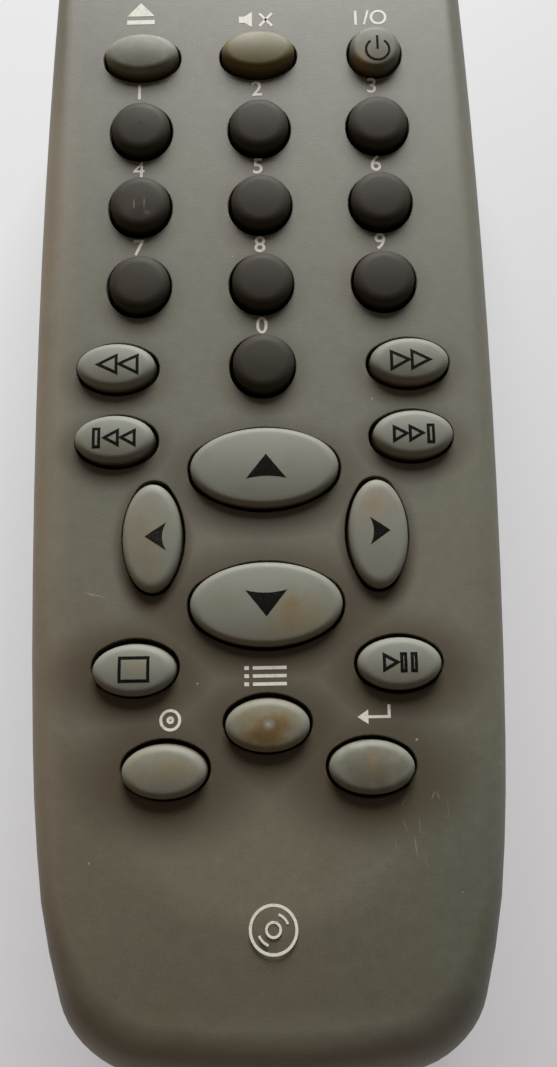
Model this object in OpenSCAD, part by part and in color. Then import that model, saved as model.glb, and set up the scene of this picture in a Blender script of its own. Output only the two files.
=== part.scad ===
// Hand-held infrared remote control: two moulded shells round a circuit board,
// a moulded rubber keypad with 26 keys, and a bay for two AAA cells behind a sliding door.
// +Z is up through the keys, +Y points to the infrared end, and the back lies flat on Z = 0.

/* [Case] */
// Distance from the last key row to the lower end of the case
last_row = 33; // [30:0.5:40]
// Width of the case at its widest place
body_w = 52.9; // [52:0.1:56]
// Room between the roof of the battery bay and the circuit board
board_room = 0.5; // [0.3:0.1:3]
// Height of the parting line between the two shells
part_z = 9.5; // [9:0.1:10.5]
// Thickness of the side walls
wall = 2; // [1.8:0.1:2.4]
// Thickness of the face that carries the keys
face_t = 1.8; // [1.5:0.1:2.1]
// Thickness of the flat floor of the rear shell
floor_t = 1.8; // [1.5:0.1:2]
// Rounding along the edge of the face
face_round = 3; // [2.4:0.1:3.2]
// Rounding along the edge of the back
back_round = 5; // [4:0.1:5.4]

/* [Outline] */
// Radius of the long bowed sides
side_r = 1100; // [900:10:1600]
// Radius of the lower sides, where the case draws in
taper_r = 200; // [170:5:240]
// Radius of the two lower corners
corner_r = 9.5; // [9:0.1:11]
// Radius of the two upper corners
top_corner_r = 11; // [9:0.1:12]
// Direction of the side where the lower taper starts, in degrees
taper_from = 2.4; // [2:0.1:2.8]
// Direction of the side where the lower corner starts, in degrees
taper_to = 10; // [8:0.5:11]
// Direction of the side where the corners end, in degrees
corner_to = 80; // [76:1:83]

/* [Raised key field] */
// Distance from the widest side of the case to the flat field
field_side = 2.15; // [1.5:0.05:2.4]
// Distance from the lower end of the case to the lower end of the flat field
field_end = 19; // [17:0.5:21]
// Radius of the field's rounded lower end
field_end_r = 17.5; // [15:0.5:20]
// Radius of the field's lower sides
field_side_r = 70; // [62:1:80]
// Slope of the surface outside the field, in degrees
skirt_slope = 6; // [4:0.5:7]
// Half length of the blend between the field and the slope
skirt_blend = 1.5; // [1:0.1:2.5]
// Radius of the rounded lower end of the case
end_round = 8.5; // [7:0.1:9]

/* [Keys] */
// Distance from the top end of the case to the first key row
first_row = 23.5; // [22:0.5:26]
// Step from the first row to the round keys
second_step = 10.05; // [9.8:0.05:11]
// Step between rows of round keys
row_step = 10.05; // [9.6:0.05:10.4]
// Sideways step between the three columns of round keys
col_step = 14.2; // [13.6:0.1:15]
// Diameter of the hole for a round key
round_d = 7.6; // [7:0.1:8]
// Diameter of the hole for the power key
power_d = 6.7; // [6:0.1:7.2]
// Width of the hole for a small oval key
oval_w = 9.5; // [9:0.1:10]
// Height of the hole for a small oval key
oval_h = 6.3; // [5.8:0.1:6.8]
// Length of the hole for the up and down keys
big_w = 17.1; // [16:0.1:18]
// Breadth of the hole for the up and down keys
big_h = 9.7; // [9:0.1:10]
// Length of the hole for the left and right keys
tall_h = 12.8; // [12:0.1:13.4]
// Breadth of the hole for the left and right keys
tall_w = 7; // [6.4:0.1:7.4]
// Distance below the second row to the winding keys
wind_drop = 30.15; // [29.5:0.05:31]
// Distance from the winding keys to the skip keys
skip_drop = 8.6; // [8.4:0.1:9.4]
// Sideways place of the winding and skip keys
wind_x = 16.5; // [16:0.1:16.8]
// Distance below the second row to the up key
up_drop = 42.25; // [41.5:0.05:43]
// Distance from the up key to the left and right keys
side_drop = 7.5; // [7:0.1:8]
// Sideways place of the left and right keys
side_x = 12.25; // [12:0.05:13]
// Distance from the up key to the down key
down_drop = 15.2; // [14.6:0.1:16]
// Distance from the down key to the stop and play keys
stop_drop = 6.45; // [6:0.05:7]
// Sideways place of the stop and play keys
stop_x = 14.05; // [13.6:0.05:15]
// Distance from the down key to the menu key
menu_drop = 12.45; // [12:0.05:13]
// Distance from the down key to the title and enter keys
title_drop = 17; // [16.6:0.1:17.6]
// Sideways place of the title and enter keys
title_x = 10.75; // [10.4:0.05:12]
// Gap between a key and the edge of its hole
key_gap = 0.25; // [0.2:0.05:0.35]
// Height of a key's top above the face
key_proud = 1.5; // [1.2:0.1:1.8]
// Fall of a key's crowned top from its middle to its edge
key_crown = 0.35; // [0.2:0.05:0.5]
// Rounding along the edge of a key's top
key_round = 0.6; // [0.4:0.05:0.7]
// Distance that a key travels when it is pressed
key_travel = 1; // [0.8:0.05:1.1]
// Thickness of the flange that holds a key under the face
flange_t = 0.9; // [0.7:0.1:1]
// Overlap of the flange behind the edge of the hole
flange_lap = 0.3; // [0.25:0.05:0.35]
// Clearance between the flange and the back of the face
flange_gap = 0.2; // [0.15:0.05:0.3]
// Clearance between the flange and the opening in the rubber mat
mat_gap = 0.3; // [0.25:0.05:0.35]
// Thickness of the rubber mat
mat_t = 1.1; // [0.9:0.1:1.1]
// Thickness of a carbon pill
pill_t = 0.4; // [0.3:0.05:0.4]
// Diameter of a carbon pill
pill_d = 3.6; // [3:0.1:4]

/* [Circuit board] */
// Thickness of the circuit board
board_t = 1.2; // [1:0.1:1.2]
// Room between the side walls and the circuit board
board_side = 1.55; // [1.4:0.05:2]
// Distance from the top end of the case to the board
board_top = 11.5; // [11:0.5:13]
// Distance from the title keys to the lower edge of the board
board_below = 7; // [6.5:0.5:9]
// Thickness of a contact pad
pad_t = 0.08; // [0.05:0.01:0.1]
// Distance from the edge of the board to the rubber mat
mat_side = 0.3; // [0.2:0.1:0.5]

/* [Battery bay] */
// Diameter of a cell
cell_d = 10.5; // [10.2:0.1:10.5]
// Length of a cell with its button end
cell_len = 44.5; // [44:0.1:45]
// Distance between the two cells' axes
cell_step = 10.9; // [10.8:0.1:11.4]
// Room at each cell's flat end for the spring
spring_len = 5; // [4.6:0.1:5.6]
// Thickness of the bay's walls
bay_t = 1.2; // [1:0.1:1.4]
// Clearance round the cells
cell_gap = 0.4; // [0.3:0.05:0.5]
// Distance from the lower end of the case to the bay
bay_end = 5.7; // [5.5:0.1:6.5]
// Thickness of the battery door
door_t = 1.6; // [1.4:0.1:1.7]
// Width of the battery door
door_w = 30; // [29:0.5:32]
// Clearance round the battery door
door_gap = 0.2; // [0.15:0.05:0.3]
// Width of the tongue along each side of the door
tongue_w = 1.2; // [1:0.1:1.4]
// Thickness of that tongue
tongue_t = 1; // [0.8:0.1:1.2]
// Thickness of a contact plate
plate_t = 0.4; // [0.3:0.05:0.5]
// Diameter of the spring's wire
wire_d = 0.6; // [0.5:0.05:0.7]

/* [Case joint] */
// Height of the lip that locates the two shells
lip_h = 1.6; // [1.2:0.1:2]
// Thickness of that lip
lip_t = 0.85; // [0.7:0.05:0.9]
// Clearance between the lip and the other shell
lip_gap = 0.15; // [0.1:0.05:0.2]
// Diameter of the case screw's thread
screw_d = 2.2; // [2:0.1:2.4]
// Diameter of the case screw's head
screw_head_d = 4; // [3.6:0.1:4.2]
// Distance from the lower end of the case to the case screw
screw_end = 19; // [17:0.5:20]

/* [Infrared end] */
// Width of the infrared window
window_w = 16; // [14:0.5:18]
// Height of the infrared window above the parting line
window_h = 6; // [5.5:0.1:6.4]
// Clearance round the window
window_gap = 0.1; // [0.08:0.01:0.15]
// Diameter of the infrared diode
led_d = 5; // [4.6:0.1:5]
// Length of the infrared diode's body
led_len = 7.4; // [7:0.1:7.6]

/* [Hidden] */
fine = 96;
coarse = 256;
half_w = body_w / 2;
field_half_w = half_w - field_side;
board_w = body_w - 2 * (wall + board_side);
mat_w = board_w - 2 * mat_side;

// The case is as long as its rows of keys and the room at both ends of them
body_len = first_row + second_step + up_drop + down_drop + title_drop + last_row;
half_len = body_len / 2;

// Heights of the stack, from the back up: cells, bay roof, board, keys and face
press_gap = 0.02;
cell_z = door_t + cell_gap + cell_d / 2;
roof_z = cell_z + cell_d / 2 + cell_gap;
roof_top_z = roof_z + bay_t;
board_low_z = roof_top_z + board_room;
board_top_z = board_low_z + board_t;
pill_low_z = board_top_z + pad_t + press_gap + key_travel;
flange_low_z = pill_low_z + pill_t;
flange_top_z = flange_low_z + flange_t;
face_in_z = flange_top_z + flange_gap;
body_h = face_in_z + face_t;
tongue_z = floor_t + door_gap;

// Small clearances that the inner pieces share, and how far a boss or rib runs into its wall
fit_gap = 0.1;
contact_gap = 0.1;
root = 0.5;

// Places of the keys
row_a = half_len - first_row;
row_b = row_a - second_step;
wind_y = row_b - wind_drop;
skip_y = wind_y - skip_drop;
up_y = row_b - up_drop;
side_y = up_y - side_drop;
down_y = up_y - down_drop;
stop_y = down_y - stop_drop;
menu_y = down_y - menu_drop;
title_y = down_y - title_drop;

// Each key: name, x, y, hole length, hole breadth, turn
KEYS = [
    ["key_open", -col_step, row_a, oval_w, oval_h, 0],
    ["key_mute", 0, row_a, oval_w, oval_h, 0],
    ["key_power", col_step, row_a, power_d, power_d, 0],
    ["key_one", -col_step, row_b, round_d, round_d, 0],
    ["key_two", 0, row_b, round_d, round_d, 0],
    ["key_three", col_step, row_b, round_d, round_d, 0],
    ["key_four", -col_step, row_b - row_step, round_d, round_d, 0],
    ["key_five", 0, row_b - row_step, round_d, round_d, 0],
    ["key_six", col_step, row_b - row_step, round_d, round_d, 0],
    ["key_seven", -col_step, row_b - 2 * row_step, round_d, round_d, 0],
    ["key_eight", 0, row_b - 2 * row_step, round_d, round_d, 0],
    ["key_nine", col_step, row_b - 2 * row_step, round_d, round_d, 0],
    ["key_zero", 0, row_b - 3 * row_step, round_d, round_d, 0],
    ["key_rewind", -wind_x, wind_y, oval_w, oval_h, 0],
    ["key_forward", wind_x, wind_y, oval_w, oval_h, 0],
    ["key_previous", -wind_x, skip_y, oval_w, oval_h, 0],
    ["key_next", wind_x, skip_y, oval_w, oval_h, 0],
    ["key_up", 0, up_y, big_w, big_h, 0],
    ["key_left", -side_x, side_y, tall_h, tall_w, 90],
    ["key_right", side_x, side_y, tall_h, tall_w, 90],
    ["key_down", 0, down_y, big_w, big_h, 0],
    ["key_stop", -stop_x, stop_y, oval_w, oval_h, 0],
    ["key_play", stop_x, stop_y, oval_w, oval_h, 0],
    ["key_menu", 0, menu_y, oval_w, oval_h, 0],
    ["key_title", -title_x, title_y, oval_w, oval_h, 0],
    ["key_enter", title_x, title_y, oval_w, oval_h, 0]
];

// ---- Closed outlines as chains of tangent arcs: [centre x, centre y, radius, from, to] ----

// The lower end: side arc, taper, corner and end arc, worked out from the widest place down
taper_x = half_w - side_r * (1 - cos(taper_from));
corner_x = taper_x - taper_r * (cos(taper_from) - cos(taper_to));
end_x = corner_x - corner_r * (cos(taper_to) - cos(corner_to));
end_r = end_x / cos(corner_to);
low_reach = side_r * sin(taper_from) + taper_r * (sin(taper_to) - sin(taper_from))
    + corner_r * (sin(corner_to) - sin(taper_to)) + end_r * (1 - sin(corner_to));
wide_y = low_reach - half_len;

// The upper end: the side arc runs on until its corner and the end arc close at half_len
function top_x(a) = half_w - side_r * (1 - cos(a)) - top_corner_r * (cos(a) - cos(corner_to));
function top_end_r(a) = top_x(a) / cos(corner_to);
function top_turn(a, n) = n == 0 ? a : top_turn(asin((half_len - wide_y
    - top_corner_r * (sin(corner_to) - sin(a)) - top_end_r(a) * (1 - sin(corner_to))) / side_r), n - 1);
side_up = top_turn(2, 12);

// Centres of the arcs on the right-hand side
side_cx = half_w - side_r;
taper_cx = side_cx + (side_r - taper_r) * cos(taper_from);
taper_cy = wide_y - (side_r - taper_r) * sin(taper_from);
corner_cx = taper_cx + (taper_r - corner_r) * cos(taper_to);
corner_cy = taper_cy - (taper_r - corner_r) * sin(taper_to);
top_cx = side_cx + (side_r - top_corner_r) * cos(side_up);
top_cy = wide_y + (side_r - top_corner_r) * sin(side_up);

BODY = [
    [side_cx, wide_y, side_r, -taper_from, side_up],
    [top_cx, top_cy, top_corner_r, side_up, corner_to],
    [0, half_len - top_end_r(side_up), top_end_r(side_up), corner_to, 180 - corner_to],
    [-top_cx, top_cy, top_corner_r, 180 - corner_to, 180 - side_up],
    [-side_cx, wide_y, side_r, 180 - side_up, 180 + taper_from],
    [-taper_cx, taper_cy, taper_r, 180 + taper_from, 180 + taper_to],
    [-corner_cx, corner_cy, corner_r, 180 + taper_to, 180 + corner_to],
    [0, end_r - half_len, end_r, 180 + corner_to, 360 - corner_to],
    [corner_cx, corner_cy, corner_r, 360 - corner_to, 360 - taper_to],
    [taper_cx, taper_cy, taper_r, 360 - taper_to, 360 - taper_from]
];

// Points along the case's outline, each with the outward normal's direction
function arc_steps(r, turn) = r > 500 ? 10 : r > 150 ? 5 : r > 40 ? 8 : ceil(turn / 8);
function outline(inset) = [
    for (a = BODY)
        let (n = arc_steps(a[2], a[4] - a[3]))
        for (i = [0:n - 1])
            let (t = a[3] + (a[4] - a[3]) * i / n)
            [a[0] + (a[2] - inset) * cos(t), a[1] + (a[2] - inset) * sin(t)]
];
function ring(inset, z) = [for (p = outline(inset)) [p[0], p[1], z]];

// Skins a stack of rings, lowest first, into one closed solid
module loft(rings) {
    n = len(rings[0]);
    m = len(rings);
    polyhedron(
        points = [for (r = rings) each r],
        faces = concat(
            [[for (i = [0:n - 1]) i]],
            [for (j = [0:m - 2], i = [0:n - 1]) [j * n + i, (j + 1) * n + i, (j + 1) * n + (i + 1) % n]],
            [for (j = [0:m - 2], i = [0:n - 1]) [j * n + i, (j + 1) * n + (i + 1) % n, j * n + (i + 1) % n]],
            [[for (i = [n - 1:-1:0]) (m - 1) * n + i]]
        )
    );
}

// ---- The face: a flat key field, a sloping skirt round it, and an edge that rolls over ----

field_end_y = field_end - half_len;
field_cy = field_end_y + field_end_r;
field_turn = acos((field_side_r - field_half_w) / (field_side_r - field_end_r));
field_side_y = field_cy + (field_side_r - field_end_r) * sin(field_turn);
field_side_cx = field_half_w - field_side_r;
top_spine_y = half_len - half_w;
roll_from = 35;
roll_to = 62;

function mix(a, b, t) = a + (b - a) * t;
function ease(t) = let (c = min(max(t, 0), 1)) c * c * (3 - 2 * c);

// Each outline point looks at a point on the middle line of the case
function spine_y(p) = min(max(p[1], field_cy), top_spine_y);
function below_angle(p) = atan2(max(field_cy - p[1], 0), abs(p[0]));
function arc_reach(a) =
    let (cx = field_side_cx, cy = field_side_y - field_cy, b = cx * cos(a) - cy * sin(a))
    b + sqrt(b * b - cx * cx - cy * cy + field_side_r * field_side_r);
function border_gap(p) =
    p[1] > field_side_y ? abs(p[0]) - field_half_w :
    p[1] > field_cy ? abs(p[0]) - field_side_cx
        - sqrt(field_side_r * field_side_r - pow(p[1] - field_side_y, 2)) :
    below_angle(p) < field_turn ? norm([p[0], p[1] - field_cy]) - arc_reach(below_angle(p)) :
    norm([p[0], p[1] - field_cy]) - field_end_r;

// Where the face's section stands at step k of its rings, as [distance inside the wall, height]
function face_section(gap, roll, slope, k, roll_steps) =
    let (
        reach = gap - roll * (1 - sin(slope)),
        soft = min(skirt_blend, reach / 3),
        s = k > 4 ? reach : k < 3 ? k * soft : k == 3 ? soft + reach / 2 : reach,
        fall = s < 2 * soft ? s * s / (4 * soft) : s - soft,
        z = -fall * tan(slope),
        turn = mix(slope, 90, max(k - 4, 0) / roll_steps)
    )
    k < 5 ? [gap - s, z] :
    [roll * (1 - sin(turn)), z - roll * cos(slope) + roll * cos(turn)];

// One ring of the face, moved inwards and lowered for the inside of the shell
function face_ring(inset, drop, k, roll_steps) = [
    for (p = outline(0))
        let (
            c = [0, spine_y(p)],
            u = (p - c) / norm(p - c),
            roll_0 = mix(face_round, end_round, ease((below_angle(p) - roll_from) / (roll_to - roll_from))),
            gap_0 = max(border_gap(p), roll_0 + 0.3),
            slope = skirt_slope * ease((gap_0 - roll_0) / 4),
            q = face_section(gap_0 - inset, max(roll_0 - inset, 0.8), slope, k, roll_steps),
            at = p - u * (inset + q[0])
        )
        [at[0], at[1], body_h - drop + q[1]]
];

// The solid between z0 and the face; with an inset and a drop, the space inside its walls
module face_solid(inset, drop, z0, roll_steps) {
    top = 4 + roll_steps;
    wall_ring = face_ring(inset, drop, top, roll_steps);
    loft(concat(
        [[for (p = wall_ring) [p[0], p[1], z0]]],
        [for (k = [top:-1:0]) face_ring(inset, drop, k, roll_steps)]
    ));
}

// The solid between the flat back and z1, with its lower edge rounded
module back_solid(inset, z0, z1, low_f, steps) {
    loft(concat(
        [for (i = [0:steps])
            let (t = 90 * i / steps)
            ring(inset + low_f * (1 - sin(t)), z0 + low_f * (1 - cos(t)))],
        [ring(inset, z1)]
    ));
}

module body_prism(inset, z0, z1) {
    translate([0, 0, z0])
        linear_extrude(z1 - z0)
            polygon(outline(inset));
}

// ---- Keys ----

// A four-arc oval of length l and breadth b about the origin
function tip_r(l, b) = 0.575 * b * b / l;
function flank_r(l, b, r) = (l * l / 4 - l * r + b * b / 4) / (b - 2 * r);
function tip_turn(l, b) = atan2(flank_r(l, b, tip_r(l, b)) - b / 2, l / 2 - tip_r(l, b));

module oval_2d(l, b) {
    if (l == b) {
        circle(d = b, $fn = fine);
    } else {
        r = tip_r(l, b);
        f = flank_r(l, b, r);
        for (s = [-1, 1])
            translate([s * (l / 2 - r), 0])
                circle(r = r, $fn = fine);
        intersection() {
            translate([0, b / 2 - f])
                circle(r = f, $fn = fine);
            translate([0, f - b / 2])
                circle(r = f, $fn = fine);
            square([l - 2 * r + 2 * r * cos(tip_turn(l, b)), 2 * b], center = true);
        }
    }
}

module oval_prism(l, b, z0, z1) {
    translate([0, 0, z0])
        linear_extrude(z1 - z0)
            oval_2d(l, b);
}

// One level of an oval key, moved inwards by inset
function oval_ring(l, b, inset, z) =
    let (
        r = tip_r(l, b),
        f = flank_r(l, b, r),
        t = tip_turn(l, b),
        arcs = [
            [l / 2 - r, 0, r, -t, t, 7],
            [0, b / 2 - f, f, t, 180 - t, 5],
            [r - l / 2, 0, r, 180 - t, 180 + t, 7],
            [0, f - b / 2, f, 180 + t, 360 - t, 5]
        ]
    )
    [for (a = arcs, i = [0:a[5] - 1])
        let (s = a[3] + (a[4] - a[3]) * i / a[5])
        [a[0] + (a[2] - inset) * cos(s), a[1] + (a[2] - inset) * sin(s), z]];

// An oval key's body: straight sides, a rounded edge and a crowned top
module oval_key_body(l, b, z0, top_z) {
    crown_w = 0.9 * tip_r(l, b) - key_round;
    edge_z = top_z - key_crown - key_round;
    loft(concat(
        [oval_ring(l, b, 0, z0)],
        [for (t = [0, 30, 60]) oval_ring(l, b, key_round * (1 - cos(t)), edge_z + key_round * sin(t))],
        [for (f = [0, 0.35, 0.7, 1])
            oval_ring(l, b, key_round + crown_w * f, top_z - key_crown * (1 - f) * (1 - f))]
    ));
}

// A round key's body, turned from its half section
module round_key_body(d, z0, top_z) {
    crown_r = (d * d / 4 + key_crown * key_crown) / (2 * key_crown);
    rotate_extrude($fn = fine)
        intersection() {
            union() {
                square([d / 2 - key_round, top_z]);
                square([d / 2, top_z - key_crown - key_round / 2]);
                translate([d / 2 - key_round, top_z - key_crown - key_round / 2])
                    circle(r = key_round, $fn = fine);
            }
            translate([0, top_z - crown_r])
                circle(r = crown_r, $fn = coarse);
            translate([0, z0])
                square([d, top_z]);
        }
}

module at_key(k) {
    translate([k[1], k[2], 0])
        rotate([0, 0, k[5]])
            children();
}

// One rubber key: its body, the flange that holds it under the face, and its carbon pill
module key(k) {
    at_key(k) {
        l = k[3] - 2 * key_gap;
        b = k[4] - 2 * key_gap;
        if (l == b)
            round_key_body(b, flange_low_z, body_h + key_proud);
        else
            oval_key_body(l, b, flange_low_z, body_h + key_proud);
        oval_prism(k[3] + 2 * flange_lap, k[4] + 2 * flange_lap, flange_low_z, flange_top_z);
        translate([0, 0, pill_low_z])
            cylinder(d = pill_d, h = pill_t, $fn = fine);
    }
}

// ---- Places that the shells and the inner pieces share ----

lip_in = wall - lip_t;
catch_h = 0.35;
catch_z = part_z + 0.5;
catch_l = 8;
CATCHES = [-46, -16, 16, 46];

bay_y0 = bay_end - half_len;
bay_y1 = bay_y0 + cell_len + spring_len + 2 * plate_t + contact_gap;
bay_half = (cell_step + cell_d) / 2 + cell_gap;
tail_w = 2;

rail_x = door_w / 2 + tongue_w + door_gap;
rail_z = tongue_z + tongue_t + door_gap;
rail_t = 1;
rail_y0 = bay_y0 + 3;
door_end_y = bay_y0 - bay_t + 0.3;
latch_w = 3.6;
grip_l = 14;
grip_w = 8;
grip_step = 1.4;
grip_rib = 0.6;

board_y1 = half_len - board_top;
board_y0 = title_y - board_below;
board_r = 3;
post_r = 2;
peg_r = 0.85;
POSTS = [for (s = [-1, 1], y = [board_y1 - 4, wind_y - 3.8]) [s * (board_w / 2 - 3.4), y]];

screw_y = screw_end - half_len;
boss_wall = 1.6;
pin_r = 0.8;
PINS = concat(
    [for (s = [-1, 1], y = [row_b, row_b - 2 * row_step]) [s * col_step / 2, y]],
    [for (s = [-1, 1]) [s * stop_x / 2, (stop_y + menu_y) / 2]]
);

module slab(x0, x1, y0, y1, z0, z1) {
    translate([x0, y0, z0])
        cube([x1 - x0, y1 - y0, z1 - z0]);
}

module rod(x, y, r, z0, z1) {
    translate([x, y, z0])
        cylinder(r = r, h = z1 - z0, $fn = fine);
}

module both_sides() {
    for (s = [0, 1])
        mirror([s, 0, 0])
            children();
}

// ---- Shells ----

// Snap catches along the lip; grown by a clearance they cut their own pockets
module catches(grow) {
    difference() {
        body_prism(lip_in - catch_h - grow, catch_z - grow, catch_z + catch_h + grow);
        body_prism(lip_in + lip_t / 2, part_z, part_z + lip_h);
        slab(-half_w / 2, half_w / 2, -half_len, half_len, part_z, part_z + lip_h);
        for (i = [0:len(CATCHES)])
            slab(-half_w, half_w,
                i == 0 ? -half_len : CATCHES[i - 1] + catch_l / 2 + grow,
                i == len(CATCHES) ? half_len : CATCHES[i] - catch_l / 2 - grow,
                part_z, part_z + lip_h);
    }
}

// The upper shell: face with key holes, side walls, screw boss and pins over the mat
module front_shell() {
    color("dimgray")
    difference() {
        union() {
            difference() {
                face_solid(0, 0, part_z, 6);
                face_solid(wall, face_t, part_z - 1, 3);
            }
            rod(0, screw_y, screw_d / 2 + boss_wall, roof_top_z + fit_gap, face_in_z + root);
            for (p = PINS)
                rod(p[0], p[1], pin_r, board_top_z + mat_t + fit_gap, face_in_z + root);
        }
        body_prism(lip_in - lip_gap, part_z - 1, part_z + lip_h + lip_gap);
        catches(lip_gap);
        rod(0, screw_y, (screw_d + fit_gap) / 2, roof_top_z, face_in_z - 2 * fit_gap);
        for (k = KEYS)
            at_key(k)
                oval_prism(k[3], k[4], face_in_z - 1, body_h + 1);
        slab(-window_w / 2, window_w / 2, half_len - 2 * wall, half_len + 1, part_z - 1, part_z + window_h);
    }
}

// The lower shell: floor, side walls, locating lip, battery bay, door rails and board posts
module rear_shell() {
    color("dimgray") {
        difference() {
            union() {
                difference() {
                    back_solid(0, 0, part_z, back_round, 5);
                    back_solid(wall, floor_t, part_z + 1, back_round - wall, 3);
                }
                difference() {
                    body_prism(lip_in, part_z - 1, part_z + lip_h);
                    body_prism(wall, part_z - 2, part_z + lip_h + 1);
                    slab(-window_w / 2 - wall, window_w / 2 + wall, 0, half_len, part_z, part_z + 2 * lip_h);
                }
                catches(0);
            }
            slab(-door_w / 2 - door_gap, door_w / 2 + door_gap, -half_len - 1, bay_y1, -1, part_z + 2 * lip_h);
            slab(-rail_x, rail_x, -half_len - 1, door_end_y + door_gap, -1, part_z + 2 * lip_h);
            slab(-rail_x, rail_x, -half_len - 1, rail_y0, floor_t, rail_z);
        }
        battery_bay();
        both_sides()
            door_rail();
        for (p = POSTS) {
            rod(p[0], p[1], post_r, floor_t - root, board_low_z - fit_gap / 2);
            rod(p[0], p[1], peg_r, floor_t - root, board_top_z - fit_gap);
        }
    }
}

// An open-bottomed tub that holds the cells, tied to the side walls by ribs
module battery_bay() {
    tub_half = bay_half + bay_t;
    difference() {
        union() {
            slab(-tub_half, tub_half, bay_y0 - bay_t, bay_y1 + bay_t, door_t + cell_gap, roof_top_z);
            slab(-tub_half, tub_half, bay_y1, bay_y1 + bay_t, floor_t - root, roof_top_z);
            for (s = [-1, 1], y = [board_y0 + 4, bay_y1 - 6])
                rod(s * 0.7 * bay_half, y, bay_t, roof_top_z - root, board_low_z - fit_gap / 2);
            intersection() {
                for (y = [bay_y0 + 4, (bay_y0 + bay_y1) / 2, bay_y1 - 4])
                    slab(-half_w, half_w, y - bay_t / 2, y + bay_t / 2, rail_z + rail_t, part_z - 1);
                body_prism(wall - root, floor_t, part_z);
            }
        }
        slab(-bay_half, bay_half, bay_y0, bay_y1, -1, roof_z);
        slab(-tub_half, tub_half, bay_y0 - 2 * bay_t, bay_y0, -1, rail_z);
        rod(0, screw_y, screw_d / 2 + 2 * fit_gap, roof_z - 1, roof_top_z + 1);
        for (s = [-1, 1], w = (tail_w + cell_gap) / 2)
            slab((s * cell_step) / 2 - w, (s * cell_step) / 2 + w, bay_y1 - 2 * plate_t, bay_y1,
                roof_z - 1, roof_top_z + 1);
        slab(-latch_w / 2 - door_gap, latch_w / 2 + door_gap, bay_y1 - 1, bay_y1 + 2 * bay_t, floor_t, rail_z);
    }
}

// One of the two grooves that the door's tongues run in
module door_rail() {
    slab(rail_x, rail_x + rail_t, rail_y0, bay_y1 + bay_t, floor_t - root, rail_z + rail_t);
    slab(door_w / 2 - rail_t, rail_x + rail_t, rail_y0, bay_y1 + bay_t, rail_z, rail_z + rail_t);
}

// The sliding door, with its turned-up end, tongues, latch and thumb grip
module battery_door() {
    tongue_y0 = rail_y0 + 3;
    tongue_y1 = bay_y1 - 1;
    tongue_top = tongue_z + tongue_t;
    color("dimgray")
    difference() {
        union() {
            difference() {
                intersection() {
                    back_solid(0, 0, part_z - fit_gap, back_round, 5);
                    union() {
                        slab(-door_w / 2, door_w / 2, -half_len - 1, bay_y1 - door_gap, -1, part_z);
                        slab(door_gap - rail_x, rail_x - door_gap, -half_len - 1, door_end_y, -1, part_z);
                    }
                }
                back_solid(door_t, door_t, part_z + 1, back_round - door_t, 3);
            }
            both_sides() {
                slab(door_w / 2 - rail_t, door_w / 2, tongue_y0, tongue_y1, door_t - root, tongue_top);
                slab(door_w / 2 - rail_t, door_w / 2 + tongue_w, tongue_y0, tongue_y1, tongue_z, tongue_top);
            }
            slab(-latch_w / 2, latch_w / 2, tongue_y1 - 1, tongue_y1, door_t - root, tongue_top);
            slab(-latch_w / 2, latch_w / 2, tongue_y1 - 1, bay_y1 + 2 * bay_t, tongue_z, tongue_top);
        }
        thumb_grip();
    }
}

// A shallow oval recess in the door with ribs across it that stop at the back's plane
module thumb_grip() {
    y = bay_y1 - 9;
    difference() {
        translate([0, y, 0])
            oval_prism(grip_l, grip_w, -1, door_t / 3);
        for (i = [-2:2])
            slab(-grip_l / 2, grip_l / 2, y + i * grip_step - grip_rib / 2, y + i * grip_step + grip_rib / 2,
                0, door_t);
    }
}

// Smoked window that fills the notch in the front shell's upper end, with a flange inside the wall
module ir_window() {
    color("maroon")
    difference() {
        union() {
            intersection() {
                body_prism(0, part_z + window_gap, part_z + window_h - window_gap);
                slab(window_gap - window_w / 2, window_w / 2 - window_gap, 0, half_len + 1, 0, body_h);
            }
            intersection() {
                body_prism(wall + window_gap, part_z + window_gap, part_z + window_h + 1);
                slab(-window_w / 2 - 1, window_w / 2 + 1, 0, half_len, 0, body_h);
            }
        }
        body_prism(wall + 1, 0, body_h);
    }
}

// ---- Keypad mat and circuit board ----

module round_plate(w, y0, y1, r, z0, t) {
    translate([0, 0, z0])
        linear_extrude(t) {
            translate([-w / 2, y0 + r])
                square([w, y1 - y0 - 2 * r]);
            translate([r - w / 2, y0])
                square([w - 2 * r, y1 - y0]);
            for (s = [-1, 1], y = [y0 + r, y1 - r])
                translate([s * (w / 2 - r), y])
                    circle(r = r, $fn = fine);
        }
}

// Rubber sheet that frames every key and lies on the board
mat_edge = 5.5;
module keypad_mat() {
    color("darkgray")
    difference() {
        round_plate(mat_w, title_y - mat_edge, row_a + mat_edge, board_r + 1, board_top_z, mat_t);
        for (k = KEYS)
            at_key(k)
                oval_prism(k[3] + 2 * (flange_lap + mat_gap), k[4] + 2 * (flange_lap + mat_gap),
                    board_top_z - 1, board_top_z + mat_t + 1);
    }
}

lead_d = 0.5;
lead_step = 2.54;
lead_y = board_y1 - 2;

module circuit_board() {
    color("darkgreen")
    difference() {
        round_plate(board_w, board_y0, board_y1, board_r, board_low_z, board_t);
        for (p = POSTS)
            rod(p[0], p[1], peg_r + fit_gap, board_low_z - 1, board_top_z + 1);
        for (s = [-1, 1])
            rod(s * lead_step / 2, lead_y, lead_d / 2 + fit_gap, board_low_z - 1, board_top_z + 1);
    }
}

// Printed carbon contacts, one under each key
module contact_pads() {
    color("black")
    for (k = KEYS)
        rod(k[1], k[2], pill_d / 2 + 0.4, board_top_z, board_top_z + pad_t);
}

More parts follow.
